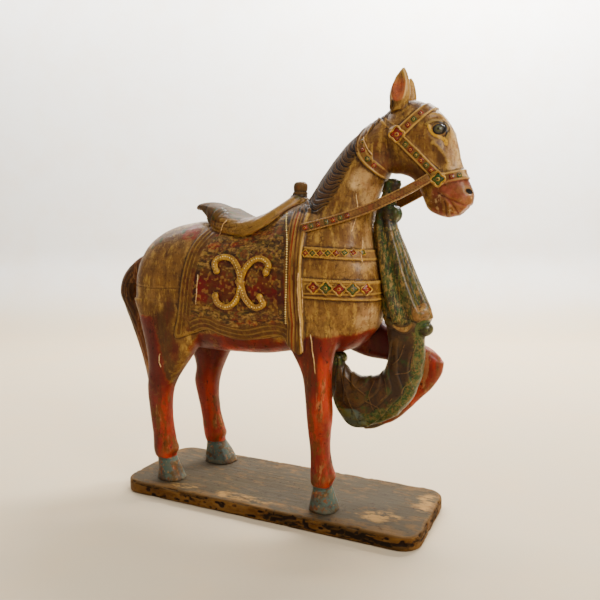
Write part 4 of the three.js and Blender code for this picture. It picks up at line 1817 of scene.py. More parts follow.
@dataclass(frozen=True)
class HorseFinish:
    """Old gold over orange-red, rubbed, with painted highlights and painted shade, and a painted saddle
    cloth.
    """

    effects: Effects

    def build(self) -> bpy.types.Material:
        """The figure's material.

        Returns:
            The material.
        """
        coat = Coat("horse_paint", self.effects, Tone.OCHRE, gloss=0.52, shine=0.18, varnish=0.1)
        graph = coat.graph
        grain = graph.use(self.effects.grain, vector=coat.vector, scale=70.0)
        coat.relief(420, 0.5, 60, 0.9)
        coat.height = graph.total(coat.height, graph.product(grain["Pores"], 0.22))
        self.gilded_body(coat, grain["Streaks"])
        self.red_underside(coat)
        self.cloth_ground(coat)
        self.cloth_border(coat)
        self.girth(coat)
        self.seat_and_mane(coat)
        self.bridle(coat)
        self.head(coat)
        self.hooves_and_tail(coat)
        self.age(coat)
        return coat.done(0.55)

    def gilded_body(self, coat: Coat, streaks: Socket) -> None:
        """The body's old gold, with pale rubbed paint that is also a painted highlight where the light
        falls, and painted shade by the near stifle.

        Args:
            coat: the figure's coat.
            streaks: the brush's streaks.
        """
        graph = coat.graph
        coat.flecks(1.0, Fleck(Tone.OCHRE_DEEP, 0.6, 9, 0.5, 0.12), Fleck(Tone.GOLD, 0.5, 20, 0.4, 0.08))
        coat.cover((streaks, 0.3), Tone.OCHRE_DEEP)
        coat.flecks(1.0, Fleck(Tone.UMBER, 0.5, 46, 0.36, 0.07, 0.22))
        tilted = graph.place((1, 1, 0.3), (0.5, 0.2, 0))
        gilt = graph.use(self.effects.patches, vector=tilted, scale=60, amount=0.3, softness=0.06)
        coat.cover((gilt["Mask"], 0.45), Tone.GILT)
        coat.flecks(
            1.0,
            Fleck(Tone.UMBER, 0.45, 55, 0.3, 0.05),
            Fleck(Tone.UMBER, 0.4, 200, 0.3, 0.04, 0.22),
            Fleck(Tone.GILT, 0.35, 170, 0.26, 0.04, 0.22),
        )
        # Pale rubbed paint and painted highlight: shinier cream on the lit chest, neck, foreleg, rump and
        # face.
        uneven = graph.stray(coat.vector, 26, 5, 0.7, 1.5)
        rubbed = graph.rise(graph.total(graph.field("rubbed"), uneven), 0.38, 0.95)
        coat.cover((rubbed, 0.66), Tone.CREAM, 0.36)
        coat.flecks(
            rubbed,
            Fleck(Tone.OCHRE_DEEP, 0.6, 70, 0.42, 0.04, 0.22),
            Fleck(Tone.RUST, 0.55, 38, 0.42, 0.05),
            Fleck(Tone.OCHRE, 0.5, 26, 0.5, 0.06, 0.3),
        )
        coat.flecks(1.0, Fleck(Tone.DARK, 0.6, 140, 0.2, 0.02, rough=0.7))
        # Painted shade by the near stifle, in umber and deep red.
        brown = coat.blend(Tone.UMBER, Tone.RED_DEEP, 30, 0.45, 0.1, 0.3)
        coat.cover((coat.zone("stifle_shade", 9, 9, 60), 0.85), brown, 0.55)

    def red_underside(self, coat: Coat) -> None:
        """The orange-red legs and belly, with painted shade that turns the red deep on the far side, under
        the belly and at the top of the near hind leg.

        Args:
            coat: the figure's coat.
        """
        graph = coat.graph
        brushed = graph.rise(graph.noise(graph.place((1, 1, 0.22)), 24, 4), 0.36, 0.6)
        zone = coat.zone("red", 5, 9, 46)
        coat.cover(zone, graph.mix(brushed, Tone.RED, Tone.RED_MID), 0.5, 0.12)
        coat.flecks(
            zone,
            Fleck(Tone.RED_DEEP, 0.7, 14, 0.46, 0.08, 0.22),
            Fleck(Tone.UMBER, 0.7, 30, 0.34, 0.06, 0.22),
        )
        # Painted shade: the red turns deep red where shade falls.
        deep = graph.field("deep")
        coat.cover((zone, deep, 0.88), Tone.RED_DEEP, 0.5)
        low = graph.product(zone, graph.inverse(graph.product(deep, 0.8)))
        coat.flecks(
            low,
            Fleck(Tone.TAN, 0.5, 34, 0.2, 0.02, 0.22, rough=0.7, raised=-0.15),
            Fleck(Tone.OCHRE_DEEP, 0.7, 62, 0.3, 0.03, 0.4, rough=0.75, raised=-0.1),
        )
        coat.flecks(
            graph.product(low, graph.rise(graph.field("chipped"), 0.2, 0.8)),
            Fleck(Tone.TAN, 0.6, 120, 0.4, 0.05, 0.28, rough=0.75, raised=-0.1),
            Fleck(Tone.OLIVE, 0.75, 80, 0.5, 0.05, 0.28, rough=0.75, raised=-0.1),
        )
        coat.flecks(zone, Fleck(Tone.DARK, 0.8, 100, 0.16, 0.02, 0.5, rough=0.8, raised=-0.1))

    def cloth_ground(self, coat: Coat) -> None:
        """The cloth's crimson with its dense gold flecks, the dark ground round the scrolls, partly a
        painted contact shadow, and the roses.

        Args:
            coat: the figure's coat.
        """
        graph = coat.graph
        cloth = coat.zone("cloth", 0.8)
        height = graph.axis(coat.vector, "Z")
        middle = graph.product(graph.rise(height, 0.425, 0.45), graph.rise(height, 0.53, 0.49))
        coat.cover(cloth, coat.blend(Tone.CRIMSON, Tone.RED_DEEP, 18, 0.45, 0.1), 0.6)
        dense = graph.math("SUBTRACT", 0.64, graph.product(middle, 0.46))
        for scale, amount, tone, share, soft in (
            (16, 0.05, Tone.OLIVE, 0.75, 0.1), (30, 0.12, Tone.OCHRE_DEEP, 0.8, 0.08),
            (64, 0.0, Tone.OCHRE, 0.65, 0.06), (48, -0.2, Tone.MOSS, 0.45, 0.05),
            (70, -0.2, Tone.DARK, 0.6, 0.03), (120, -0.2, Tone.GOLD, 0.65, 0.03),
            (50, -0.34, Tone.RED_MID, 0.7, 0.05), (90, -0.42, Tone.PINK, 0.5, 0.05),
            (190, -0.16, Tone.DARK, 0.6, 0.03),
        ):
            where = graph.place((0.45, 1, 1), (scale * 0.01, 0.3, 0.1))
            values = {"scale": scale, "amount": graph.total(dense, amount), "softness": soft}
            made = graph.use(self.effects.patches, vector=where, **values)
            coat.cover((cloth, made["Mask"], share), tone, 0.62)
        # Dark ground round the raised scrolls: partly paint, partly a painted contact shadow.
        around = coat.zone("scroll", 3.0, 7, 90)
        coat.cover((cloth, around, 0.75), coat.blend(Tone.RED_DEEP, Tone.DARK, 40, 0.5, 0.08))
        coat.cover((cloth, coat.zone("rose", 2.5, 4, 110, -3.5), 0.45), Tone.MOSS)
        petals = coat.blend(Tone.RED_DEEP, Tone.RUST, 130, 0.5)
        coat.cover((cloth, coat.zone("rose", 0.8, 2.2, 150), 0.6), petals)
        bare = graph.inverse(cloth)
        rump = graph.product(coat.zone("rump_rose", 4.0, 9.0, 60), bare)
        coat.flecks(rump, Fleck(Tone.RED_MID, 0.75, 60, 0.6, 0.08, long=0.5))
        coat.cover((coat.zone("rump_leaf", 1.0, 3.0, 150), bare, 0.75), Tone.GREEN)

    def cloth_border(self, coat: Coat) -> None:
        """The cloth's gold border with its cut lines, and the dark strips inside it.

        Args:
            coat: the figure's coat.
        """
        graph = coat.graph
        cloth = coat.zone("cloth", 0.8)
        ahead, height = (graph.axis(coat.vector, name) for name in ("X", "Z"))
        rear, hem = graph.field("cloth_rear"), graph.field("cloth_hem")
        loose = graph.total(hem, graph.product(graph.noise(coat.vector, 50), 6))
        edges = [graph.both_edges(edge, -9, 31) for edge in (rear, loose)]
        border = graph.product(cloth, graph.most(*edges))
        coat.cover((border, 0.9), coat.blend(Tone.OCHRE_DEEP, Tone.OLIVE, 40, 0.5, 0.08), 0.6)
        coat.flecks(
            border, Fleck(Tone.OCHRE, 0.6, 50, 0.4, 0.07), Fleck(Tone.RED_DEEP, 0.55, 40, 0.34, 0.06)
        )
        cut = graph.math("PINGPONG", graph.total(rear, graph.product(hem, 0.6)), 5.2)
        lines = graph.product(border, graph.rise(cut, 1.1, 0.2))
        coat.flecks(lines, Fleck(Tone.UMBER, 0.65, 28, 0.62, 0.1))
        strip = graph.product(graph.rise(ahead, 0.046, 0.048), graph.rise(ahead, 0.0615, 0.060))
        coat.flecks(
            graph.product(cloth, graph.rise(height, 0.41, 0.43), strip),
            Fleck(Tone.DARK, 0.55, 26, 0.72, 0.06, rough=0.6),
        )
        level = graph.product(graph.rise(height, 0.43, 0.45), graph.rise(height, 0.525, 0.505))
        coat.cover((cloth, graph.both_edges(rear, 33, 43), level, 0.85), Tone.DARK, 0.6)

    def girth(self, coat: Coat) -> None:
        """The girth's long stripes.

        Args:
            coat: the figure's coat.
        """
        graph = coat.graph
        ahead = graph.axis(coat.vector, "X")
        girth = graph.product(coat.zone("cloth", 0.8), graph.rise(ahead, 0.0615, 0.063))
        coat.cover(girth, coat.blend(Tone.OCHRE_DEEP, Tone.OCHRE, 44, 0.5, 0.06, 0.12))
        along = graph.total(ahead, graph.stray(graph.place((0, 0, 1)), 9, 2, 0.55, 0.007))
        edge = 0.001
        for low, high, tone, share in (
            (0.0725, 0.0765, Tone.RED_MID, 0.75), (0.0765, 0.0785, Tone.GILT, 0.5),
            (0.0815, 0.0845, Tone.RED_DEEP, 0.7), (0.0855, 0.0875, Tone.DARK, 0.6),
            (0.0655, 0.0675, Tone.DARK, 0.6), (0.0945, 0.0985, Tone.GILT, 0.8),
        ):
            line = graph.product(graph.rise(along, low, low + edge), graph.rise(along, high + edge, high))
            coat.flecks(graph.product(girth, line), Fleck(tone, share, 30, 0.8, 0.08, 0.2))

    def seat_and_mane(self, coat: Coat) -> None:
        """The saddle's brown seat and grey horn, and the mane's dark locks.

        Args:
            coat: the figure's coat.
        """
        graph = coat.graph
        seat = coat.zone("seat", 1.0)
        coat.cover(seat, coat.blend(Tone.OCHRE_DEEP, Tone.OCHRE, 24, 0.4, 0.08), 0.5)
        coat.flecks(
            seat,
            Fleck(Tone.UMBER, 0.65, 50, 0.42, 0.07, long=0.4),
            Fleck(Tone.GOLD, 0.5, 70, 0.3, 0.05),
            Fleck(Tone.RUST, 0.5, 48, 0.26, 0.04),
        )
        grey = coat.zone("grey", 3.0, 6)
        coat.cover(grey, coat.blend(Tone.OLIVE, Tone.BOARD_DARK, 30, 0.5, 0.08), 0.85)
        coat.flecks(
            grey,
            Fleck(Tone.SLATE, 0.4, 26, 0.42, 0.08),
            Fleck(Tone.OCHRE_DEEP, 0.6, 60, 0.3, 0.05),
            Fleck(Tone.GREEN, 0.7, 75, 0.26, 0.03),
            Fleck(Tone.RUST, 0.6, 58, 0.2, 0.03),
        )
        mane = coat.zone("mane", 2.0, 3, 70)
        deep = graph.rise(graph.field("mane"), 3, 16)
        coat.cover(mane, graph.mix(deep, Tone.OLIVE, Tone.UMBER), 0.85)
        coat.flecks(mane, Fleck(Tone.DARK, 0.7, 30, 0.5, 0.08))
        loose = graph.total(graph.field("strand"), graph.product(graph.noise(coat.vector, 40, 3), 0.25))
        hair = graph.math("PINGPONG", loose, 0.125)
        lit = graph.product(mane, graph.rise(hair, 0.095, 0.125))
        coat.flecks(lit, Fleck(Tone.GOLD, 0.6, 24, 0.7, 0.1, rough=0.45))
        coat.cover((mane, graph.rise(hair, 0.045, 0.01), 0.85), Tone.BLACK, 0.6)
        coat.cover((mane, graph.rise(graph.field("hollow_fine"), 0.05, 0.24), 0.8), Tone.BLACK)

    def bridle(self, coat: Coat) -> None:
        """The brown gold straps, the collar and the bands round the breast.

        Args:
            coat: the figure's coat.
        """
        coat.flecks(coat.zone("panel", 0.8), Fleck(Tone.OCHRE_DEEP, 0.55, 32, 0.5, 0.07))
        for name, share, ragged, low, high, rim in (
            ("straps", 0.8, (60, 0.45, 0.08), 0.3, 3.0, Fleck(Tone.GOLD, 0.75, 46, 0.78, 0.05, rough=0.42)),
            ("bands", 0.6, (50, 0.5, 0.06), 0.4, 3.4, Fleck(Tone.GOLD, 0.6, 40, 0.75, 0.06, rough=0.42)),
        ):
            leather = coat.blend(Tone.OCHRE_DEEP, Tone.OCHRE, *ragged)
            coat.cover((coat.zone(name, 0.8), share), leather, 0.5)
            coat.flecks(coat.graph.both_edges(coat.graph.field(name), low, high), rim)

    def head(self, coat: Coat) -> None:
        """The eyes, the pale face, the pink muzzle and the ears.

        Args:
            coat: the figure's coat.
        """
        graph = coat.graph
        blaze = coat.zone("blaze", 6.0, 4)
        ahead = graph.rise(graph.axis(graph.node("ShaderNodeTexCoord").outputs["Normal"], "X"), 0.25, 0.75)
        coat.cover((blaze, ahead, 0.7), coat.blend(Tone.CREAM, Tone.TAN, 40, 0.4, 0.06), 0.5)
        coat.cover((blaze, ahead, graph.both_edges(graph.field("blaze"), 9, 12.5), 0.5), Tone.SLATE)
        coat.cover((coat.zone("streak", 4, 7), 0.6), Tone.UMBER, 0.45)
        shadow = coat.blend(Tone.UMBER, Tone.RED_DEEP, 24, 0.45, 0.1)
        coat.cover((coat.zone("jaw", 9, 14, 40), 0.62), shadow, 0.5)
        coat.cover((coat.zone("rim", 1.0, 2.0, 120), 0.85), Tone.YELLOW, 0.5)
        eye = graph.field("eye")
        for outer, inner, share, tone, rough in (
            (1.25, 1.05, 1.0, Tone.BLACK, 0.3), (0.92, 0.76, 1.0, Tone.SLATE, 0.2),
            (0.66, 0.5, 0.5, Tone.MOSS, 0.15), (0.36, 0.2, 0.8, Tone.DARK, 0.12),
        ):
            coat.cover((graph.rise(eye, outer, inner), share), tone, rough)
        coat.cover((coat.zone("lid", 0.9, 1.2, 120), 0.92), Tone.BLACK, 0.45)
        muzzle = coat.zone("muzzle", 4, 6, 60)
        coat.cover(muzzle, coat.blend(Tone.PINK, Tone.RUST, 38, 0.45, 0.1), 0.5)
        coat.flecks(
            muzzle,
            Fleck(Tone.UMBER, 0.6, 26, 0.48, 0.1),
            Fleck(Tone.OCHRE, 0.5, 40, 0.36, 0.08),
            Fleck(Tone.CREAM, 0.5, 60, 0.24, 0.05),
        )
        nostril = graph.field("nostril")
        # Painted highlight: faint cream on the nostril's rolled rim.
        coat.cover((graph.rise(nostril, 2.4, 1.3), 0.2), Tone.CREAM)
        coat.cover(graph.rise(nostril, 1.15, 0.85), Tone.BLACK, 0.6)
        ears = coat.zone("ear", 3)
        coat.flecks(ears, Fleck(Tone.TAN, 0.35, 40, 0.5, 0.08))
        coat.cover((ears, graph.both_edges(graph.field("ear_in"), -0.2, 0.02), 0.5), Tone.CREAM)

    def hooves_and_tail(self, coat: Coat) -> None:
        """The worn blue-green hooves and the brown tail.

        Args:
            coat: the figure's coat.
        """
        hoof = coat.zone("hoof", 0.8, 2)
        coat.cover(hoof, coat.blend(Tone.TEAL, Tone.SLATE, 36, 0.4, 0.06), 0.6)
        coat.flecks(
            hoof,
            Fleck(Tone.OLIVE, 0.8, 34, 0.36, 0.04, rough=0.7),
            Fleck(Tone.RUST, 0.75, 60, 0.28, 0.04, rough=0.7),
            Fleck(Tone.TAN, 0.7, 130, 0.24, 0.04, rough=0.7),
        )
        tail = coat.zone("tail", 2.0)
        coat.cover(tail, coat.blend(Tone.TAIL, Tone.UMBER, 26, 0.5, 0.08, 0.2), 0.5)
        coat.flecks(tail, Fleck(Tone.TAN, 0.6, 60, 0.3, 0.03, 0.15))

    def age(self, coat: Coat) -> None:
        """Darker hollows, rubbed ridges, cracks, chips and dust over everything.

        Args:
            coat: the figure's coat.
        """
        graph, vector = coat.graph, coat.vector
        eye = graph.rise(graph.field("eye"), 1.5, 1.2)
        nose = graph.rise(graph.field("nostril"), 2.6, 1.8)
        painted = (("hoof", 2.0), ("mane", 2.0), ("tail", 2.0), ("grey", 3.0), ("red", 4.0))
        muzzle = graph.product(coat.zone("muzzle", 4.0), 0.75)
        dull = graph.most(*(coat.zone(name, edge) for name, edge in painted), eye, nose, muzzle)
        calm = graph.inverse(graph.product(coat.zone("cloth", 1.0), 0.35))
        gilded = graph.product(graph.inverse(dull), calm)
        coat.worn(Tone.GILT, 0.4, Tone.DARK, 0.6, (0.3, 0.36), gilded)
        coat.worn(Tone.OCHRE, 0.25, Tone.BLACK, 0.5, (0.3, 0.36), graph.product(dull, graph.inverse(eye)))
        coat.cover((coat.zone("rim", 1.0, 2.0, 120), graph.inverse(eye), 0.75), Tone.YELLOW, 0.5)
        bowl = graph.product(coat.zone("ear_in", 0.12), graph.rise(graph.axis(vector, "Z"), 0.882, 0.862))
        coat.cover((bowl, 0.72), coat.blend(Tone.ORANGE, Tone.PINK, 50, 0.45, 0.1), 0.5)
        coat.flecks(bowl, Fleck(Tone.RUST, 0.5, 60, 0.4, 0.1))
        cracks = graph.use(self.effects.crackle, vector=vector, scale=75.0, width=0.045)["Cracks"]
        coat.cover((cracks, 0.55), Tone.DARK, 0.8, -0.25)
        coat.flecks(1.0, Fleck(Tone.UMBER, 0.5, 260, 0.2, 0.02, rough=0.8))
        coat.cover(graph.use(self.effects.dust, vector=vector, amount=0.07)["Dust"], Tone.BOARD, 0.8)


@dataclass(frozen=True)
class ScarfFinish:
    """Dark green over brown, its folds picked out in gold."""

    effects: Effects

    def build(self) -> bpy.types.Material:
        """The scarf's material.

        Returns:
            The material.
        """
        coat = Coat("scarf_paint", self.effects, Tone.OLIVE, gloss=0.5, shine=0.28)
        coat.relief(380, 0.5, 70, 0.8)
        coat.flecks(1.0, Fleck(Tone.UMBER, 0.7, 20, 0.5, 0.1))
        low = coat.graph.rise(coat.graph.field("fan"), -4, -14)
        coat.flecks(
            low,
            Fleck(Tone.DARK, 0.7, 26, 0.56, 0.08),
            Fleck(Tone.OCHRE_DEEP, 0.6, 60, 0.3, 0.05),
            Fleck(Tone.GREEN, 0.6, 46, 0.26, 0.05),
        )
        fan = coat.graph.rise(coat.graph.field("fan"), -8, 4)
        self.fan(coat, fan)
        self.loop(coat, low, fan)
        coat.worn(Tone.OLIVE, 0.35, Tone.BLACK, 0.8, (0.34, 0.36))
        coat.flecks(fan, Fleck(Tone.GOLD, 0.4, 170, 0.22, 0.03))
        coat.flecks(1.0, Fleck(Tone.DARK, 0.6, 120, 0.3, 0.02, rough=0.8))
        return coat.done(0.6)

    def fan(self, coat: Coat, fan: Socket) -> None:
        """The pleated part under the knot.

        Args:
            coat: the scarf's coat.
            fan: where it is.
        """
        graph = coat.graph
        ridge = graph.rise(graph.field("hollow_wide"), 0.25, -0.6)
        coat.flecks(fan, Fleck(Tone.GREEN, 0.9, 24, 0.74, 0.08, 0.18))
        coat.flecks(graph.product(fan, ridge), Fleck(Tone.OCHRE_DEEP, 0.6, 20, 0.55, 0.1, 0.18))
        coat.flecks(
            fan,
            Fleck(Tone.MOSS, 0.7, 140, 0.42, 0.04, 0.35),
            Fleck(Tone.GOLD, 0.6, 220, 0.4, 0.05, 0.35),
            Fleck(Tone.DARK, 0.7, 110, 0.36, 0.03, 0.18),
            Fleck(Tone.RUST, 0.5, 26, 0.16, 0.05, 0.18),
        )

    def loop(self, coat: Coat, low: Socket, fan: Socket) -> None:
        """The loop's green edge and veins, the gold hem, the knobs and the tip.

        Args:
            coat: the scarf's coat.
            low: where the loop is.
            fan: where the fan is.
        """
        graph = coat.graph
        stray = graph.stray(coat.vector, 50, 5, 0.7, 26)
        rim = graph.product(graph.rise(graph.total(graph.field("edge_green"), stray), -3, 3), low)
        coat.cover((rim, 0.85), coat.blend(Tone.GREEN, Tone.MOSS, 130, 0.46, 0.03))
        coat.flecks(rim, Fleck(Tone.OCHRE, 0.5, 150, 0.4, 0.04))
        coat.flecks(graph.rise(graph.field("vein"), 0.5, 1.0), Fleck(Tone.TAN, 0.5, 50, 0.7, 0.06))
        hem = coat.zone("hem", 1.0)
        coat.cover(hem, coat.blend(Tone.OCHRE, Tone.GOLD, 60, 0.42, 0.05), 0.45)
        coat.flecks(hem, Fleck(Tone.GREEN, 0.6, 90, 0.3, 0.04))
        knobs = coat.zone("knobs", 1.2)
        coat.cover((knobs, 0.92), coat.blend(Tone.GREEN, Tone.DARK, 34, 0.5, 0.1), 0.38)
        coat.cover((coat.zone("tip", 2.0, 3), 0.85), coat.blend(Tone.MOSS, Tone.TEAL, 40, 0.5, 0.1))
        coat.flecks(graph.product(knobs, graph.inverse(fan)), Fleck(Tone.MOSS, 0.75, 110, 0.52, 0.03))


@dataclass(frozen=True)
class StrapFinish:
    """Brown gold leather with rubbed edges."""

    effects: Effects

    def build(self) -> bpy.types.Material:
        """The reins' material.

        Returns:
            The material.
        """
        coat = Coat("rein_paint", self.effects, Tone.OCHRE, gloss=0.5, shine=0.28)
        graph = coat.graph
        coat.relief(380, 0.5, 90, 0.6)
        coat.flecks(1.0, Fleck(Tone.OCHRE_DEEP, 0.7, 36, 0.5, 0.08), Fleck(Tone.RUST, 0.6, 70, 0.35, 0.03))
        across, run = graph.field("across"), graph.field("run")
        out = graph.math("ABSOLUTE", across)
        coat.flecks(graph.rise(out, 0.62, 0.82), Fleck(Tone.GOLD, 0.75, 50, 0.7, 0.06, rough=0.42))
        coat.cover((graph.both_edges(out, 0.5, 0.62), 0.6), Tone.DARK, 0.75)
        for slant in (-5.0, 5.0):
            slanted = graph.total(run, graph.product(across, slant))
            cut = graph.rise(graph.math("PINGPONG", slanted, 3.2), 1.0, 0.2)
            coat.flecks(cut, Fleck(Tone.UMBER, 0.55, 50, 0.7, 0.08))
        coat.flecks(1.0, Fleck(Tone.DARK, 0.6, 160, 0.26, 0.02, rough=0.8))
        return coat.done(0.6)


@dataclass(frozen=True)
class BoardFinish:
    """Grey-brown boards, with an ochre edge whose paint has flaked off."""

    effects: Effects

    def build(self) -> bpy.types.Material:
        """The plinth's material.

        Returns:
            The material.
        """
        coat = Coat("board_paint", self.effects, Tone.BOARD, gloss=0.8, shine=0.12, varnish=0.0)
        graph = coat.graph
        grain = graph.use(self.effects.grain, vector=coat.vector, scale=75.0)
        coat.height = graph.total(
            graph.product(grain["Streaks"], 0.5), graph.product(grain["Pores"], 0.3),
            graph.product(graph.noise(coat.vector, 300, 4), 0.4),
        )
        coat.cover((grain["Streaks"], 0.3), Tone.BOARD_DARK)
        coat.flecks(1.0, Fleck(Tone.SLATE, 0.4, 7, 0.5, 0.12))
        long = graph.place((0.4, 1, 1))
        reach = graph.total(36, graph.stray(long, 22, 5, 0.7, 130))
        near_edge = graph.rise(graph.math("SUBTRACT", reach, graph.field("edge")), 0, 16)
        coat.flecks(near_edge, Fleck(Tone.EDGE, 0.4, 40, 0.5, 0.05, long=0.4, rough=0.75))
        bare = graph.rise(graph.total(graph.field("bare"), graph.stray(long, 30, 6, 0.7, 2.2)), 0.5, 0.95)
        coat.flecks(bare, Fleck(Tone.GOLD, 0.6, 80, 0.55, 0.06, long=0.4, rough=0.75))
        coat.flecks(
            1.0, Fleck(Tone.EDGE, 0.3, 90, 0.3, 0.03, long=0.4), Fleck(Tone.DARK, 0.6, 120, 0.2, 0.02)
        )
        facing = graph.node("ShaderNodeNewGeometry").outputs["Normal"]
        side = graph.rise(graph.axis(facing, "Z"), 0.72, 0.45)
        coat.cover(side, coat.blend(Tone.EDGE, Tone.OCHRE_DEEP, 24, 0.45, 0.06, 1.0, 0.4), 0.6)
        coat.cover((side, grain["Streaks"], 0.4), Tone.UMBER)
        bitten = graph.product(graph.rise(graph.field("bitten"), 0.16, 0.34), coat.patches(14, 0.6, 0.03))
        flaked = graph.most(coat.patches(11, 0.4, 0.015, 2.6, 0.5), bitten)
        coat.cover((side, flaked, 0.92), Tone.BLACK, 0.85, -0.6)
        corner = graph.both_edges(graph.field("edge"), -2, 3.4)
        coat.cover((corner, graph.inverse(side), 0.5), Tone.BOARD_DARK)
        coat.worn(Tone.EDGE, 0.35, Tone.DARK, 0.6, (0.35, 0.4))
        return coat.done(0.7)


@dataclass(frozen=True)
class TrimFinish:
    """A small ornament's paint, with patches of a second paint and of dirt."""

    effects: Effects
    name: str
    main: Tone
    second: Tone
    rough: float

    def build(self) -> bpy.types.Material:
        """The ornament's material.

        Returns:
            The material.
        """
        coat = Coat(self.name, self.effects, self.main, gloss=self.rough, shine=0.35)
        coat.height = coat.graph.product(coat.graph.noise(coat.vector, 600, 4, 0.6), 0.5)
        dirt = Fleck(Tone.UMBER, 0.6, 150, 0.34, 0.04, rough=0.75)
        coat.flecks(1.0, Fleck(self.second, 0.7, 90, 0.5, 0.08), dirt)
        return coat.done(0.5)


@dataclass(frozen=True)
class StageFinish:
    """The pale floor and wall."""

    effects: Effects

    def build(self) -> bpy.types.Material:
        """The backdrop's material.

        Returns:
            The material.
        """
        coat = Coat("backdrop_paint", self.effects, Tone.WALL, gloss=0.9, shine=0.1, varnish=0.0)
        graph = coat.graph
        coat.cover(graph.rise(graph.axis(coat.vector, "Z"), 0.4, 0.004), Tone.FLOOR)
        coat.height = graph.product(graph.noise(coat.vector, 90, 5, 0.6), 0.8)
        coat.flecks(1.0, Fleck(Tone.CREAM, 0.12, 5, 0.4, 0.15))
        return coat.done(0.25)


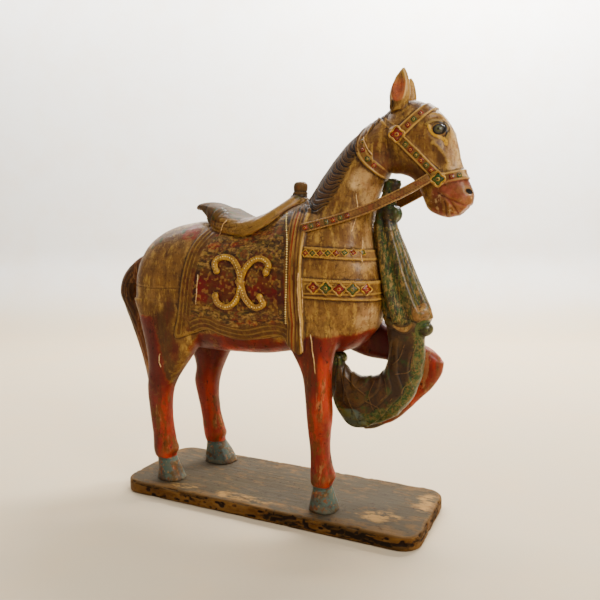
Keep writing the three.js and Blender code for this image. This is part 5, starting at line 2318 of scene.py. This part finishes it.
@dataclass
class Scarf:
    """The green scarf that hangs from the throat and loops back under the chest."""

    voxel: float = 1.4
    smoothing: int = 4
    hollow_rounds: int = 20
    most_triangles: int = 90_000
    fan: Rows = (
        (266, 690, 234, 688, 13), (262, 668, 229, 668, 15), (258, 650, 223, 650, 17),
        (262, 600, 213, 600, 20), (282, 550, 217, 552, 27), (298, 510, 221, 510, 32),
        (316, 470, 228, 468, 36), (330, 440, 237, 436, 38), (333, 424, 245, 412, 34),
    )
    loop: Rows = (
        (333, 424, 240, 418, 30), (320, 388, 246, 380, 24), (319, 350, 248, 345, 24),
        (315, 310, 241, 320, 25), (301, 265, 230, 305, 25), (277, 233, 213, 299, 25),
        (240, 207, 200, 296, 24), (192, 188, 184, 297, 24), (157, 195, 168, 303, 22),
        (130, 236, 158, 312, 19), (121, 268, 154, 319, 17), (123, 300, 152, 326, 16),
        (127, 326, 150, 334, 15),
    )
    knobs: Points = ((325, 402, 20), (243, 625, 26), (250, 684, 19), (141, 333, 17))
    corner: Rows = (
        (168, 203, 169, 201, 6, -4), (178, 222, 181, 196, 13, -4), (194, 228, 193, 192, 16, -4),
        (208, 214, 206, 193, 14, -4), (213, 205, 212, 199, 6, -4),
    )

    def shape(self) -> Shape:
        """The scarf's forms, not yet joined.

        Returns:
            The forms.
        """

        def pleats(turn: np.ndarray, share: np.ndarray) -> np.ndarray:
            """Folds that open out downwards."""
            wave = np.abs(np.cos(3.5 * turn + 0.4 + 0.5 * np.sin(share * 3)))
            return 1 + (0.07 + 0.24 * share) * (wave**1.4 - 0.72)

        form = Shape()
        form.loft(self.fan, sides=84, steps=8, fullness=1.2, ripple=pleats)
        form.loft(self.loop, sides=56, steps=8, fullness=1.3)
        form.ball((250, 0, 682), (16.5, 14.5, 12))
        form.ball((243, 0, 625), (25.5, 21.5, 21))
        form.ball((320, -7, 403), (17, 17, 15))
        form.ball((314, -8, 433), (19, 27, 15))
        form.ball((277, -20, 415), (14, 12, 9))
        form.ball((141, 0, 331), (16.5, 16.5, 13.5))
        form.loft(self.corner, sides=24, steps=4, fullness=1.7)
        return form

    def build(self) -> bpy.types.Object:
        """Joins and carves the scarf.

        Returns:
            The scarf, with its paint fields.
        """
        obj = welded("scarf", self.shape(), self.voxel)
        mesh = obj.data
        pairs = edge_pairs(mesh)
        points = smooth(coordinates(mesh), pairs, self.smoothing)
        place(mesh, points)
        outward = normals(mesh)
        lift, fields = self.relief(points)
        points = points + outward * lift[:, None]
        place(mesh, points)
        write(mesh, **fields, **hollows(mesh, points, pairs, self.hollow_rounds))
        thinned(obj, self.most_triangles)
        return obj

    def relief(self, p: np.ndarray) -> tuple[np.ndarray, dict[str, np.ndarray]]:
        """The folds, hems and veins.

        Args:
            p: the points.

        Returns:
            The heights and the paint fields.
        """
        x, y, z = p.T
        lift = 0.3 * value_noise(p, 20, 5) + 0.15 * value_noise(p, 7, 6)
        hem, hem_run, _ = along_line(x, z, curve(((236, 420), (262, 408), (285, 402), (300, 412))))
        band = hem - 2.5 * np.abs(np.sin(hem_run / 11))
        lift += 1.8 * step_up(6 - band, -1.5, 1.5) * (z > 385)
        halves = [math.hypot(r[0] - r[2], r[1] - r[3]) / 2 for r in self.loop]
        line = curve(middles(self.loop))
        passed = np.concatenate([[0], np.cumsum(np.linalg.norm(np.diff(line, axis=0), axis=1))])
        gap, run, hand = along_line(x, z, line)
        low = z < 400
        across_band = gap * hand
        share = across_band / np.interp(run, passed[::6], halves)
        phase = 1.7 * share + 1.1 * np.sin(run / 52) + 0.8 * value_noise(p, 46, 7)
        part = phase - np.floor(phase)
        fold = np.minimum(part / 0.8, (1 - part) / 0.2)
        lift += np.where(low, 2.2 * step_up(fold, 0, 1) - 0.9, 0) * step_up(395 - z, 0, 40)
        vein = np.zeros(len(x))
        for line in (
            ((150, 308), (158, 276), (176, 235), (190, 205)), ((158, 296), (184, 276), (206, 262)),
            ((262, 262), (250, 240), (262, 226), (284, 224)), ((300, 345), (296, 320), (268, 312)),
            ((246, 300), (252, 272), (240, 256)), ((224, 292), (214, 262), (224, 232)),
            ((285, 372), (276, 345), (262, 330)), ((300, 300), (284, 284), (280, 262)),
            ((206, 250), (232, 240), (240, 222)), ((310, 380), (302, 350), (306, 320)),
        ):
            away = beside(x, z, line)
            vein = np.maximum(vein, hump(away, 1.2))
        lift += np.where(low, 1.0 * vein, 0)
        tie = (z > 640) & (z < 668)
        lift -= np.where(tie, 1.5 * np.abs(np.sin(np.arctan2(y, x - 246) * 5)), 0)
        knot = np.hypot(x - 243, z - 625) < 34
        lift += np.where(knot, 1.0 * np.sin(np.arctan2(y, x - 243) * 7), 0)
        hem_line = np.where((z > 385) & (x > 262), 2 - band, -20)
        fields = {
            "hem": np.maximum(hem_line, 20 - np.hypot(x - 322, z - 434)),
            "vein": np.where(low, vein, 0),
            "edge_green": np.where(low, across_band - 19, -30),
            "fan": z - 415,
            "knobs": islands(x, z, self.knobs),
            "tip": 34 - np.hypot(x - 176, z - 196),
        }
        return lift, fields


@dataclass
class Rein:
    """A flat strap from the saddle's front to the bit's rosette."""

    side: int
    thickness: float = 6.0
    depth: float = 18.0
    stones_at: tuple[float, ...] = (100, 113.5, 127, 140.5, 154, 168, 181.5)
    line: Points = (
        (94, 86, 597), (115, 82, 602), (137, 77, 608), (159, 72, 614), (181, 67, 621),
        (204, 62, 629), (228, 57, 638), (252, 53, 649), (276, 49, 660), (300, 45, 672),
        (318, 42, 682), (330, 40, 689),
    )

    def stone_places(self) -> Spots:
        """Where the rear half's stones sit: place, normal and direction.

        Returns:
            Each stone's place, normal and direction.
        """
        rows = refine(self.line, 10) * np.array([1, self.side, 1])
        ahead = np.gradient(rows, axis=0)
        outward = np.array([0.0, self.side, 0.0])
        found = []
        for x in self.stones_at:
            k = int(np.argmin(np.abs(rows[:, 0] - x)))
            middle = rows[k] + outward * self.thickness / 2
            found.append((middle, outward, ahead[k] / np.linalg.norm(ahead[k])))
        return found

    def build(self) -> bpy.types.Object:
        """The strap, fluted lengthwise.

        Returns:
            The strap, with its fields stored.
        """
        name = "rein_right" if self.side < 0 else "rein_left"
        rows = refine(self.line, 10)
        along = np.gradient(rows, axis=0)
        along /= np.linalg.norm(along, axis=1)[:, None]
        turn = np.linspace(0, 2 * np.pi, 28, endpoint=False)
        cos = np.sign(np.cos(turn)) * np.abs(np.cos(turn)) ** 0.4
        sin = np.sign(np.sin(turn)) * np.abs(np.sin(turn)) ** 0.4
        up = np.stack([-along[:, 2], np.zeros(len(rows)), along[:, 0]], axis=1)
        centre = rows * np.array([1, self.side, 1])
        up /= np.linalg.norm(up, axis=1)[:, None]
        high = cos[None, :, None] * up[:, None, :] * self.depth / 2
        flute = 1 - 0.14 * (np.abs(np.abs(cos) - 0.6) < 0.12)
        out = sin[None, :, None] * np.array([0, 1, 0]) * (self.thickness / 2 * flute)[None, :, None]
        ring = centre[:, None, :] + high + out
        sides = len(turn)
        verts = ring.reshape(-1, 3)
        faces = hoop_faces(len(rows), sides) + caps(len(rows), sides)
        obj = link(name + "_strap", make_mesh(name, verts * MM, faces))
        run = np.repeat(np.arange(len(rows)) * 2.6, sides)
        write(obj.data, run=run, across=np.tile(cos, len(rows)), hollow_fine=np.zeros(len(verts)),
              hollow_wide=np.zeros(len(verts)))
        obj.data.shade_smooth()
        return obj


@dataclass
class Plinth:
    """The low board with rounded corners, its edges knocked about."""

    length: float = 686.0
    width: float = 245.0
    thickness: float = 29.0
    corner: float = 42.0
    corner_points: int = 13
    chamfer: float = 3.0
    voxel: float = 2.6
    smoothing: int = 3
    hollow_rounds: int = 12
    deepest_bite: float = 6.0
    most_triangles: int = 120_000
    bare_spots: Points = ((250, -60, 60, 40), (-60, -95, 90, 26), (-190, -95, 60, 16), (320, 40, 26, 60))

    def outline(self, inset: float) -> np.ndarray:
        """The board's plan, moved inwards.

        Args:
            inset: how far.

        Returns:
            Points in order.
        """
        r = self.corner - inset
        x, y = self.length / 2 - self.corner, self.width / 2 - self.corner
        points = []
        for cx, cy, start in ((x, y, 0), (-x, y, 90), (-x, -y, 180), (x, -y, 270)):
            for k in range(self.corner_points):
                a = math.radians(start + k * 90 / (self.corner_points - 1))
                points.append((cx + r * math.cos(a), cy + r * math.sin(a)))
        return np.array(points)

    def build(self) -> bpy.types.Object:
        """The board, worn along its edges.

        Returns:
            The board with its fields.
        """
        levels = ((0.0, self.chamfer), (self.chamfer, 0.0), (self.thickness - self.chamfer, 0.0),
                  (self.thickness, self.chamfer))
        sides = 4 * self.corner_points
        rings = [np.column_stack([self.outline(inset), np.full(sides, z)]) for z, inset in levels]
        form = Shape()
        form.add(np.vstack(rings), hoop_faces(len(levels), sides) + caps(len(levels), sides))
        obj = welded("board", form, self.voxel)
        mesh = obj.data
        pairs = edge_pairs(mesh)
        points = smooth(coordinates(mesh), pairs, self.smoothing)
        place(mesh, points)
        outward = normals(mesh)
        x, y, z = points.T
        edge = np.minimum(self.length / 2 - np.abs(x), self.width / 2 - np.abs(y))
        rim = step_up(8 - edge, 0, 6)
        bite = np.clip(value_noise(points * np.array([1, 1, 2.2]), 15, 21) - 0.15, 0, 1)
        dent = np.clip(value_noise(points, 6, 22) - 0.35, 0, 1)
        sunk = rim * (4.2 * bite + 2.2 * dent) + 0.25 * value_noise(points * np.array([0.25, 1, 1]), 9, 23)
        sunk = np.where(z < 0.6, 0, sunk)
        points = points - outward * np.clip(sunk, 0, self.deepest_bite)[:, None]
        half = np.array([self.length / 2, self.width / 2, self.thickness])
        points = np.clip(points, half * np.array([-1, -1, 0]), half)
        place(mesh, points)
        write(
            mesh,
            edge=edge,
            bitten=rim * (bite + dent),
            bare=np.max(blots(x, y, self.bare_spots), axis=0),
            **hollows(mesh, points, pairs, self.hollow_rounds),
        )
        thinned(obj, self.most_triangles)
        return obj


@dataclass
class Studio:
    """A pale floor and wall, soft light, and the photograph's camera."""

    wall_gap: float = 2.4
    wall_bend: float = 0.5
    wash_height: float = 2.75
    aim_height: float = 0.45
    camera_at: tuple[float, float, float] = (0.6009, -1.1787, 0.5892)
    camera_ahead: tuple[float, float, float] = (-0.4212, 0.9004, -0.1093)
    lens: float = 36.89
    sensor: float = 36.0
    lamps: tuple[tuple[str, tuple[float, ...], float, float, tuple[float, ...]], ...] = (
        ("key", (2.1, -1.1, 1.8), 1.1, 66, (1.0, 0.98, 0.95)),
        ("fill", (-1.5, -2.2, 1.6), 2.4, 5, (0.97, 0.98, 1.0)),
        ("top", (0.2, -0.3, 2.8), 1.2, 9, (1.0, 1.0, 1.0)),
    )
    washes: tuple[tuple[float, float], ...] = ((-1.3, 130), (1.3, 330))
    wash_size: tuple[float, float] = (2.4, 0.4)
    sky: tuple[float, float, float, float] = (0.93, 0.95, 1.0, 1.0)
    sky_strength: float = 0.3

    def build(self, finish: bpy.types.Material) -> None:
        """Sets the stage.

        Args:
            finish: the backdrop's material.
        """
        ahead = Vector((self.camera_ahead[0], self.camera_ahead[1], 0)).normalized()
        right = Vector((ahead.y, -ahead.x, 0))
        bend = self.wall_bend
        profile = [(-6.0, 0.0), (self.wall_gap - bend, 0.0)]
        profile += [
            (self.wall_gap - bend + bend * math.sin(a), bend - bend * math.cos(a))
            for a in np.linspace(0.1, math.pi / 2, 16)
        ]
        profile += [(self.wall_gap, 4.0)]
        verts = [
            tuple(ahead * d + right * w + Vector((0, 0, h))) for d, h in profile for w in (-6.0, 6.0)
        ]
        faces = [(2 * i, 2 * i + 1, 2 * i + 3, 2 * i + 2) for i in range(len(profile) - 1)]
        sweep = link("backdrop", make_mesh("backdrop", np.array(verts), faces))
        sweep.data.shade_smooth()
        sweep.data.materials.append(finish)
        for name, spot, size, power, tint in self.lamps:
            lamp = self.lamp(name, Vector(spot), Vector((0, 0, self.aim_height)), power)
            lamp.data.shape = "DISK"
            lamp.data.size = size
            lamp.data.color = tint
        for across, power in self.washes:
            spot = ahead * (self.wall_gap - 0.9) + right * across + Vector((0, 0, self.wash_height))
            target = ahead * self.wall_gap + right * across + Vector((0, 0, 0.7))
            lamp = self.lamp("wall_wash", spot, target, power)
            lamp.data.shape = "RECTANGLE"
            lamp.data.size, lamp.data.size_y = self.wash_size
        world = bpy.data.worlds.new("studio")
        world.use_nodes = True
        light = world.node_tree.nodes["Background"]
        light.inputs["Color"].default_value = self.sky
        light.inputs["Strength"].default_value = self.sky_strength
        bpy.context.scene.world = world

    def lamp(self, name: str, spot: Vector, target: Vector, power: float) -> bpy.types.Object:
        """An area light.

        Args:
            name: its name.
            spot: where it hangs.
            target: what it faces.
            power: its power in watts.

        Returns:
            The light.
        """
        data = bpy.data.lights.new(name, "AREA")
        data.energy = power
        made = bpy.data.objects.new(name, data)
        made.location = spot
        made.rotation_euler = (target - spot).to_track_quat("-Z", "Y").to_euler()
        bpy.context.scene.collection.objects.link(made)
        return made

    def camera(self) -> None:
        """Puts the camera where the photograph was taken from."""
        data = bpy.data.cameras.new("photo_camera")
        data.lens = self.lens
        data.sensor_width = self.sensor
        data.dof.use_dof = False
        data.clip_start = 0.05
        obj = bpy.data.objects.new("photo_camera", data)
        obj.location = self.camera_at
        obj.rotation_euler = Vector(self.camera_ahead).to_track_quat("-Z", "Y").to_euler()
        bpy.context.scene.collection.objects.link(obj)
        bpy.context.scene.camera = obj


@dataclass
class Trim:
    """The small ornaments laid on the figure: scrolls, beads, stones, rosettes and filler."""

    skin: BVHTree
    bead_pitch: float = 5.0
    edge_pitch: float = 3.4
    stone_radius: float = 5.1
    rein_stone_radius: float = 4.8
    scroll_half: float = 6.4
    scroll_knob: tuple[float, float] = (-37, 489)
    scrolls: Sequence[Points] = (
        ((-95, 510), (-101, 526), (-88, 537), (-63, 536), (-46, 520), (-37, 499), (-36, 478)),
        ((22, 510), (28, 525), (13, 536), (-8, 534), (-26, 517), (-34, 498), (-35, 478)),
        ((-97, 458), (-92, 443), (-70, 436), (-51, 447), (-39, 466), (-36, 490)),
        ((8, 460), (15, 446), (-4, 438), (-22, 451), (-32, 470), (-35, 490)),
    )
    bead_line: Points = ((46, 628), (60, 590), (66, 560), (68, 516), (67, 476), (64, 440), (60, 408))
    fillers: Sequence[Points] = (
        ((94, 512), (93, 490), (93, 457), (94, 406), (99, 352)),
        ((99, 502), (101, 468), (98, 431)), ((191, 664), (194, 634), (189, 603), (186, 590)),
        ((203, 580), (204, 564), (206, 548), (210, 532)), ((114, 390), (119, 359), (126, 312)),
        ((-140, 502), (-143, 468), (-147, 437)), ((-84, 615), (-97, 602), (-107, 583)),
        ((199, 772), (206, 755), (221, 735)), ((-248, 323), (-252, 307), (-248, 291)),
    )
    rosettes: Points = ((269, 770, 12.5, 0), (345.5, 686, 11.5, 1))
    chest_flowers: Points = (
        (124, 484, 10.5, 0), (149, 483, 11, 1), (174, 481.5, 11, 0), (198, 481.5, 11, 1),
        (220, 481, 10, 0),
        (105, 549, 6.2, 0), (120, 549, 6.2, 1), (135, 549, 6.2, 0), (150, 549.5, 6.2, 1),
        (165, 549.5, 6.2, 0),
        (180, 551, 6.2, 1), (194, 551, 6.2, 0), (208, 551, 6.2, 1),
    )
    band_edges: Sequence[Points] = (
        ((102, 561), (214, 554)), ((102, 543), (214, 536)), ((102, 500), (226, 496)),
        ((102, 463.5), (226, 459.5)),
    )
    stone_lines: Sequence[Points] = (
        ((310.6, 807), (299, 796), (289, 786)),
        ((285, 751), (295, 741), (305, 731), (314, 721), (323, 712), (332, 703)),
        ((368, 691), (381, 693.5)), ((199, 764), (202, 746), (212, 728), (224, 715)),
    )

    def under(self, x: float, z: float, side: int) -> tuple[np.ndarray, np.ndarray] | None:
        """The figure's surface seen from one side.

        Args:
            x: where.
            z: where.
            side: -1 for the right side, 1 for the left.

        Returns:
            The point in millimetres and the normal there, or None beside the figure.
        """
        place_found, facing, _, _ = self.skin.ray_cast(
            Vector((x * MM, side * 0.3, z * MM)), Vector((0, -side, 0))
        )
        if place_found is None:
            return None
        return np.array(place_found) / MM, np.array(facing)

    def laid(self, points: Points, side: int, steps: int = 8) -> tuple[np.ndarray, np.ndarray]:
        """A smooth line laid on the figure.

        Args:
            points: its x and z.
            side: which side of the figure.
            steps: how finely it runs between them.

        Returns:
            Its points and the normals along it.
        """
        hits = [hit for hit in (self.under(x, z, side) for x, z in curve(points, steps)) if hit]
        places = np.array([hit[0] for hit in hits])
        facing = np.array([hit[1] for hit in hits])
        for _ in range(6):
            places[1:-1] = (places[:-2] + 2 * places[1:-1] + places[2:]) / 4
            facing[1:-1] = (facing[:-2] + 2 * facing[1:-1] + facing[2:]) / 4
        facing /= np.linalg.norm(facing, axis=1)[:, None]
        return places, facing

    def along(self, places: np.ndarray, facing: np.ndarray, pitch: float) -> Spots:
        """Evenly spaced places on a laid line.

        Args:
            places: the line's points.
            facing: their normals.
            pitch: the spacing.

        Returns:
            The place, the normal and the direction of each.
        """
        steps = np.linalg.norm(np.diff(places, axis=0), axis=1)
        run = np.concatenate([[0], np.cumsum(steps)])
        spots = np.arange(pitch / 2, run[-1], pitch)
        middle = np.stack([np.interp(spots, run, places[:, k]) for k in range(3)], axis=1)
        out = np.stack([np.interp(spots, run, facing[:, k]) for k in range(3)], axis=1)
        ahead = np.stack([np.interp(spots, run, np.gradient(places[:, k])) for k in range(3)], axis=1)
        return [(m, o / np.linalg.norm(o), a / np.linalg.norm(a)) for m, o, a in zip(middle, out, ahead)]

    def build(self, reins: Sequence["Rein"]) -> dict[str, Shape]:
        """All the ornaments, sorted by finish.

        Args:
            reins: the reins, which carry stones too.

        Returns:
            The forms of each finish.
        """
        forms = {name: Shape() for name in ("gilding", "beads", "red_stones", "green_stones", "filler")}
        for side in (-1, 1):
            self.add_scrolls(forms, side)
            self.add_fillers(forms["filler"], side)
            for place_given in (*self.rosettes, *self.chest_flowers):
                x, z, radius, green = place_given
                hit = self.under(x, z, side)
                if hit:
                    self.add_flower(forms, hit[0], hit[1], radius, bool(green))
            for line in self.band_edges:
                places, facing = self.laid(line, side, 60)
                for middle, outward, ahead in self.along(places, facing, self.edge_pitch):
                    forms["gilding"].dome(middle, outward, ahead, 1.35, 1.1, sides=6)
            for number, line in enumerate(self.stone_lines):
                for k, (x, z) in enumerate(line):
                    hit = self.under(x, z, side)
                    if hit:
                        ahead = np.array([line[1][0] - line[0][0], 0, line[1][1] - line[0][1]], float)
                        green = (k + number) % 2 == 1
                        self.add_stone(forms, *hit, ahead, self.stone_radius, green)
        for rein in reins:
            for k, (middle, outward, ahead) in enumerate(rein.stone_places()):
                self.add_stone(forms, middle, outward, ahead, self.rein_stone_radius, k % 2 == 1)
        return forms

    def add_scrolls(self, forms: dict[str, Shape], side: int) -> None:
        """The four raised scrolls on the cloth, and the bead lines.

        Args:
            forms: the forms of each finish.
            side: -1 for the right side, 1 for the left.
        """
        for line in self.scrolls:
            places, facing = self.laid(line, side, 10)
            self.ribbed(forms["gilding"], places + facing * 0.8, facing)
            crest = places + facing * 4.9
            for middle, outward, ahead in self.along(crest, facing, self.bead_pitch * 1.15):
                forms["beads"].dome(middle, outward, ahead, 1.35, 1.3, sides=8)
            forms["gilding"].dome(places[0] + facing[0], facing[0], places[1] - places[0], 7.6, 5.6, 20, 5)
        knob = self.under(*self.scroll_knob, side)
        if knob:
            for radius, height, rise in ((10.5, 4.4, 2.0), (5.0, 3.0, 6.0)):
                at = knob[0] + knob[1] * rise
                forms["gilding"].dome(at, knob[1], np.array([1.0, 0, 0]), radius, height, 24, 6, 0.1)
        places, facing = self.laid(self.bead_line, side, 10)
        for middle, outward, ahead in self.along(places + facing * 0.5, facing, self.bead_pitch):
            forms["beads"].dome(middle, outward, ahead, 1.75, 1.6, sides=8)

    def ribbed(self, form: Shape, places: np.ndarray, facing: np.ndarray) -> None:
        """One scroll: a fat ribbon between two thin raised edges.

        Args:
            form: what it is added to.
            places: its middle line.
            facing: the normals along it.
        """
        form.ribbon(places, facing, self.scroll_half, 3.6, sides=18, ends=0.1)
        along = np.gradient(places, axis=0)
        along /= np.linalg.norm(along, axis=1)[:, None]
        across = np.cross(facing, along)
        for hand in (-1, 1):
            edge = places + across * hand * (self.scroll_half - 1.4) + facing * 2.2
            form.ribbon(edge, facing, 1.2, 1.5, sides=8, ends=0.1)

    def add_fillers(self, form: Shape, side: int) -> None:
        """Pale filler standing out of the old cracks.

        Args:
            form: what they are added to.
            side: -1 for the right side, 1 for the left.
        """
        count = len(self.fillers) if side < 0 else 2
        for k, line in enumerate(self.fillers[:count]):
            places, facing = self.laid(line, side, 8)
            sway = 0.8 * np.sin(np.arange(len(places)) * 0.9 + k)
            half = 1.8 if k == 0 else 1.2
            places = places + facing * 0.3 + np.array([1.0, 0, 0]) * sway[:, None] * 0.6
            form.ribbon(places, facing, half, 1.3, sides=8, ends=0.08)

    def add_flower(
        self, forms: dict[str, Shape], middle: np.ndarray, outward: np.ndarray, radius: float, green: bool
    ) -> None:
        """A four-petalled flower with an outline and a stone.

        Args:
            forms: the forms of each finish.
            middle: its middle.
            outward: the surface's normal there.
            radius: its radius.
            green: whether it is green, not red.
        """
        ahead = np.array([1.0, 0, 0.0])
        stones = forms["green_stones" if green else "red_stones"]
        stones.dome(middle, outward, ahead, radius * 0.86, 1.9, 24, 4, 0.2)
        first = ahead - outward * float(ahead @ outward)
        first /= np.linalg.norm(first)
        second = np.cross(outward, first)
        turn = 2 * np.pi * np.arange(32) / 32
        edge = radius * (1 + 0.17 * np.cos(4 * turn))[:, None]
        ring = middle + (np.cos(turn)[:, None] * first + np.sin(turn)[:, None] * second) * edge
        normal = np.repeat(outward[None], 32, axis=0)
        forms["gilding"].ribbon(ring + outward * 0.7, normal, radius * 0.16, radius * 0.2, 8, True)
        forms["gilding"].dome(middle + outward * 1.2, outward, ahead, radius * 0.36, 1.4, 12)
        stones.dome(middle + outward * 2.2, outward, ahead, radius * 0.2, 1.2, 8)

    def add_stone(
        self, forms: dict[str, Shape], middle: np.ndarray, outward: np.ndarray, ahead: np.ndarray,
        radius: float, green: bool,
    ) -> None:
        """A square setting with a ring and a coloured stone.

        Args:
            forms: the forms of each finish.
            middle: its middle.
            outward: the surface's normal there.
            ahead: where a corner points.
            radius: half the setting's width.
            green: whether it is green, not red.
        """
        stones = forms["green_stones" if green else "red_stones"]
        stones.dome(middle, outward, ahead, radius * 1.05, 1.2, 20, 4, -0.13)
        forms["gilding"].dome(middle + outward * 0.7, outward, ahead, radius * 0.52, 1.3, 12)
        stones.dome(middle + outward * 1.5, outward, ahead, radius * 0.3, 1.1, 8)


def placed(name: str, form: Shape, finish: bpy.types.Material) -> bpy.types.Object:
    """Puts an ornament's forms in the scene.

    Args:
        name: the object's name.
        form: its forms.
        finish: its material.

    Returns:
        The object.
    """
    obj = link(name, form.mesh(name))
    obj.data.shade_smooth()
    obj.data.materials.append(finish)
    return obj


def main() -> None:
    """Builds the statue and its studio."""
    logging.basicConfig(level=logging.INFO, format="%(name)s %(message)s")
    effects = Effects(patches_group(), wear_group(), grain_group(), crackle_group(), dust_group())
    studio = Studio()
    studio.build(StageFinish(effects).build())
    studio.camera()
    reins = (Rein(-1), Rein(1))
    strap = StrapFinish(effects).build()
    figure = Horse().build()
    pieces = [
        (Plinth().build(), "plinth", "plinth_wood", BoardFinish(effects).build()),
        (figure, "horse", "painted_wood", HorseFinish(effects).build()),
        (Scarf().build(), "hanging_scarf", "scarf_wood", ScarfFinish(effects).build()),
        (reins[0].build(), "rein_right", "rein_wood", strap),
        (reins[1].build(), "rein_left", "rein_wood", strap),
    ]
    for piece, node, slot, finish in pieces:
        piece.data.materials.clear()
        piece.data.materials.append(finish)
        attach(piece, "root")
        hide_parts(node)
    corners = [v.co for v in figure.data.vertices]
    skin = BVHTree.FromPolygons(corners, [p.vertices for p in figure.data.polygons])
    finishes = {
        "gilding": TrimFinish(effects, "gilding", Tone.YELLOW, Tone.OCHRE, 0.34),
        "beads": TrimFinish(effects, "beads", Tone.IVORY, Tone.GILT, 0.36),
        "red_stones": TrimFinish(effects, "red_stones", Tone.RED_MID, Tone.RED_DEEP, 0.25),
        "green_stones": TrimFinish(effects, "green_stones", Tone.GREEN, Tone.MOSS, 0.25),
        "filler": TrimFinish(effects, "filler", Tone.CREAM, Tone.TAN, 0.6),
    }
    for name, form in Trim(skin).build(reins).items():
        piece = placed(name, form, finishes[name].build())
        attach(piece, "root")
        LOG.info("%s: %d faces", name, len(piece.data.polygons))
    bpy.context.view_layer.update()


if __name__ == "__main__":
    main()
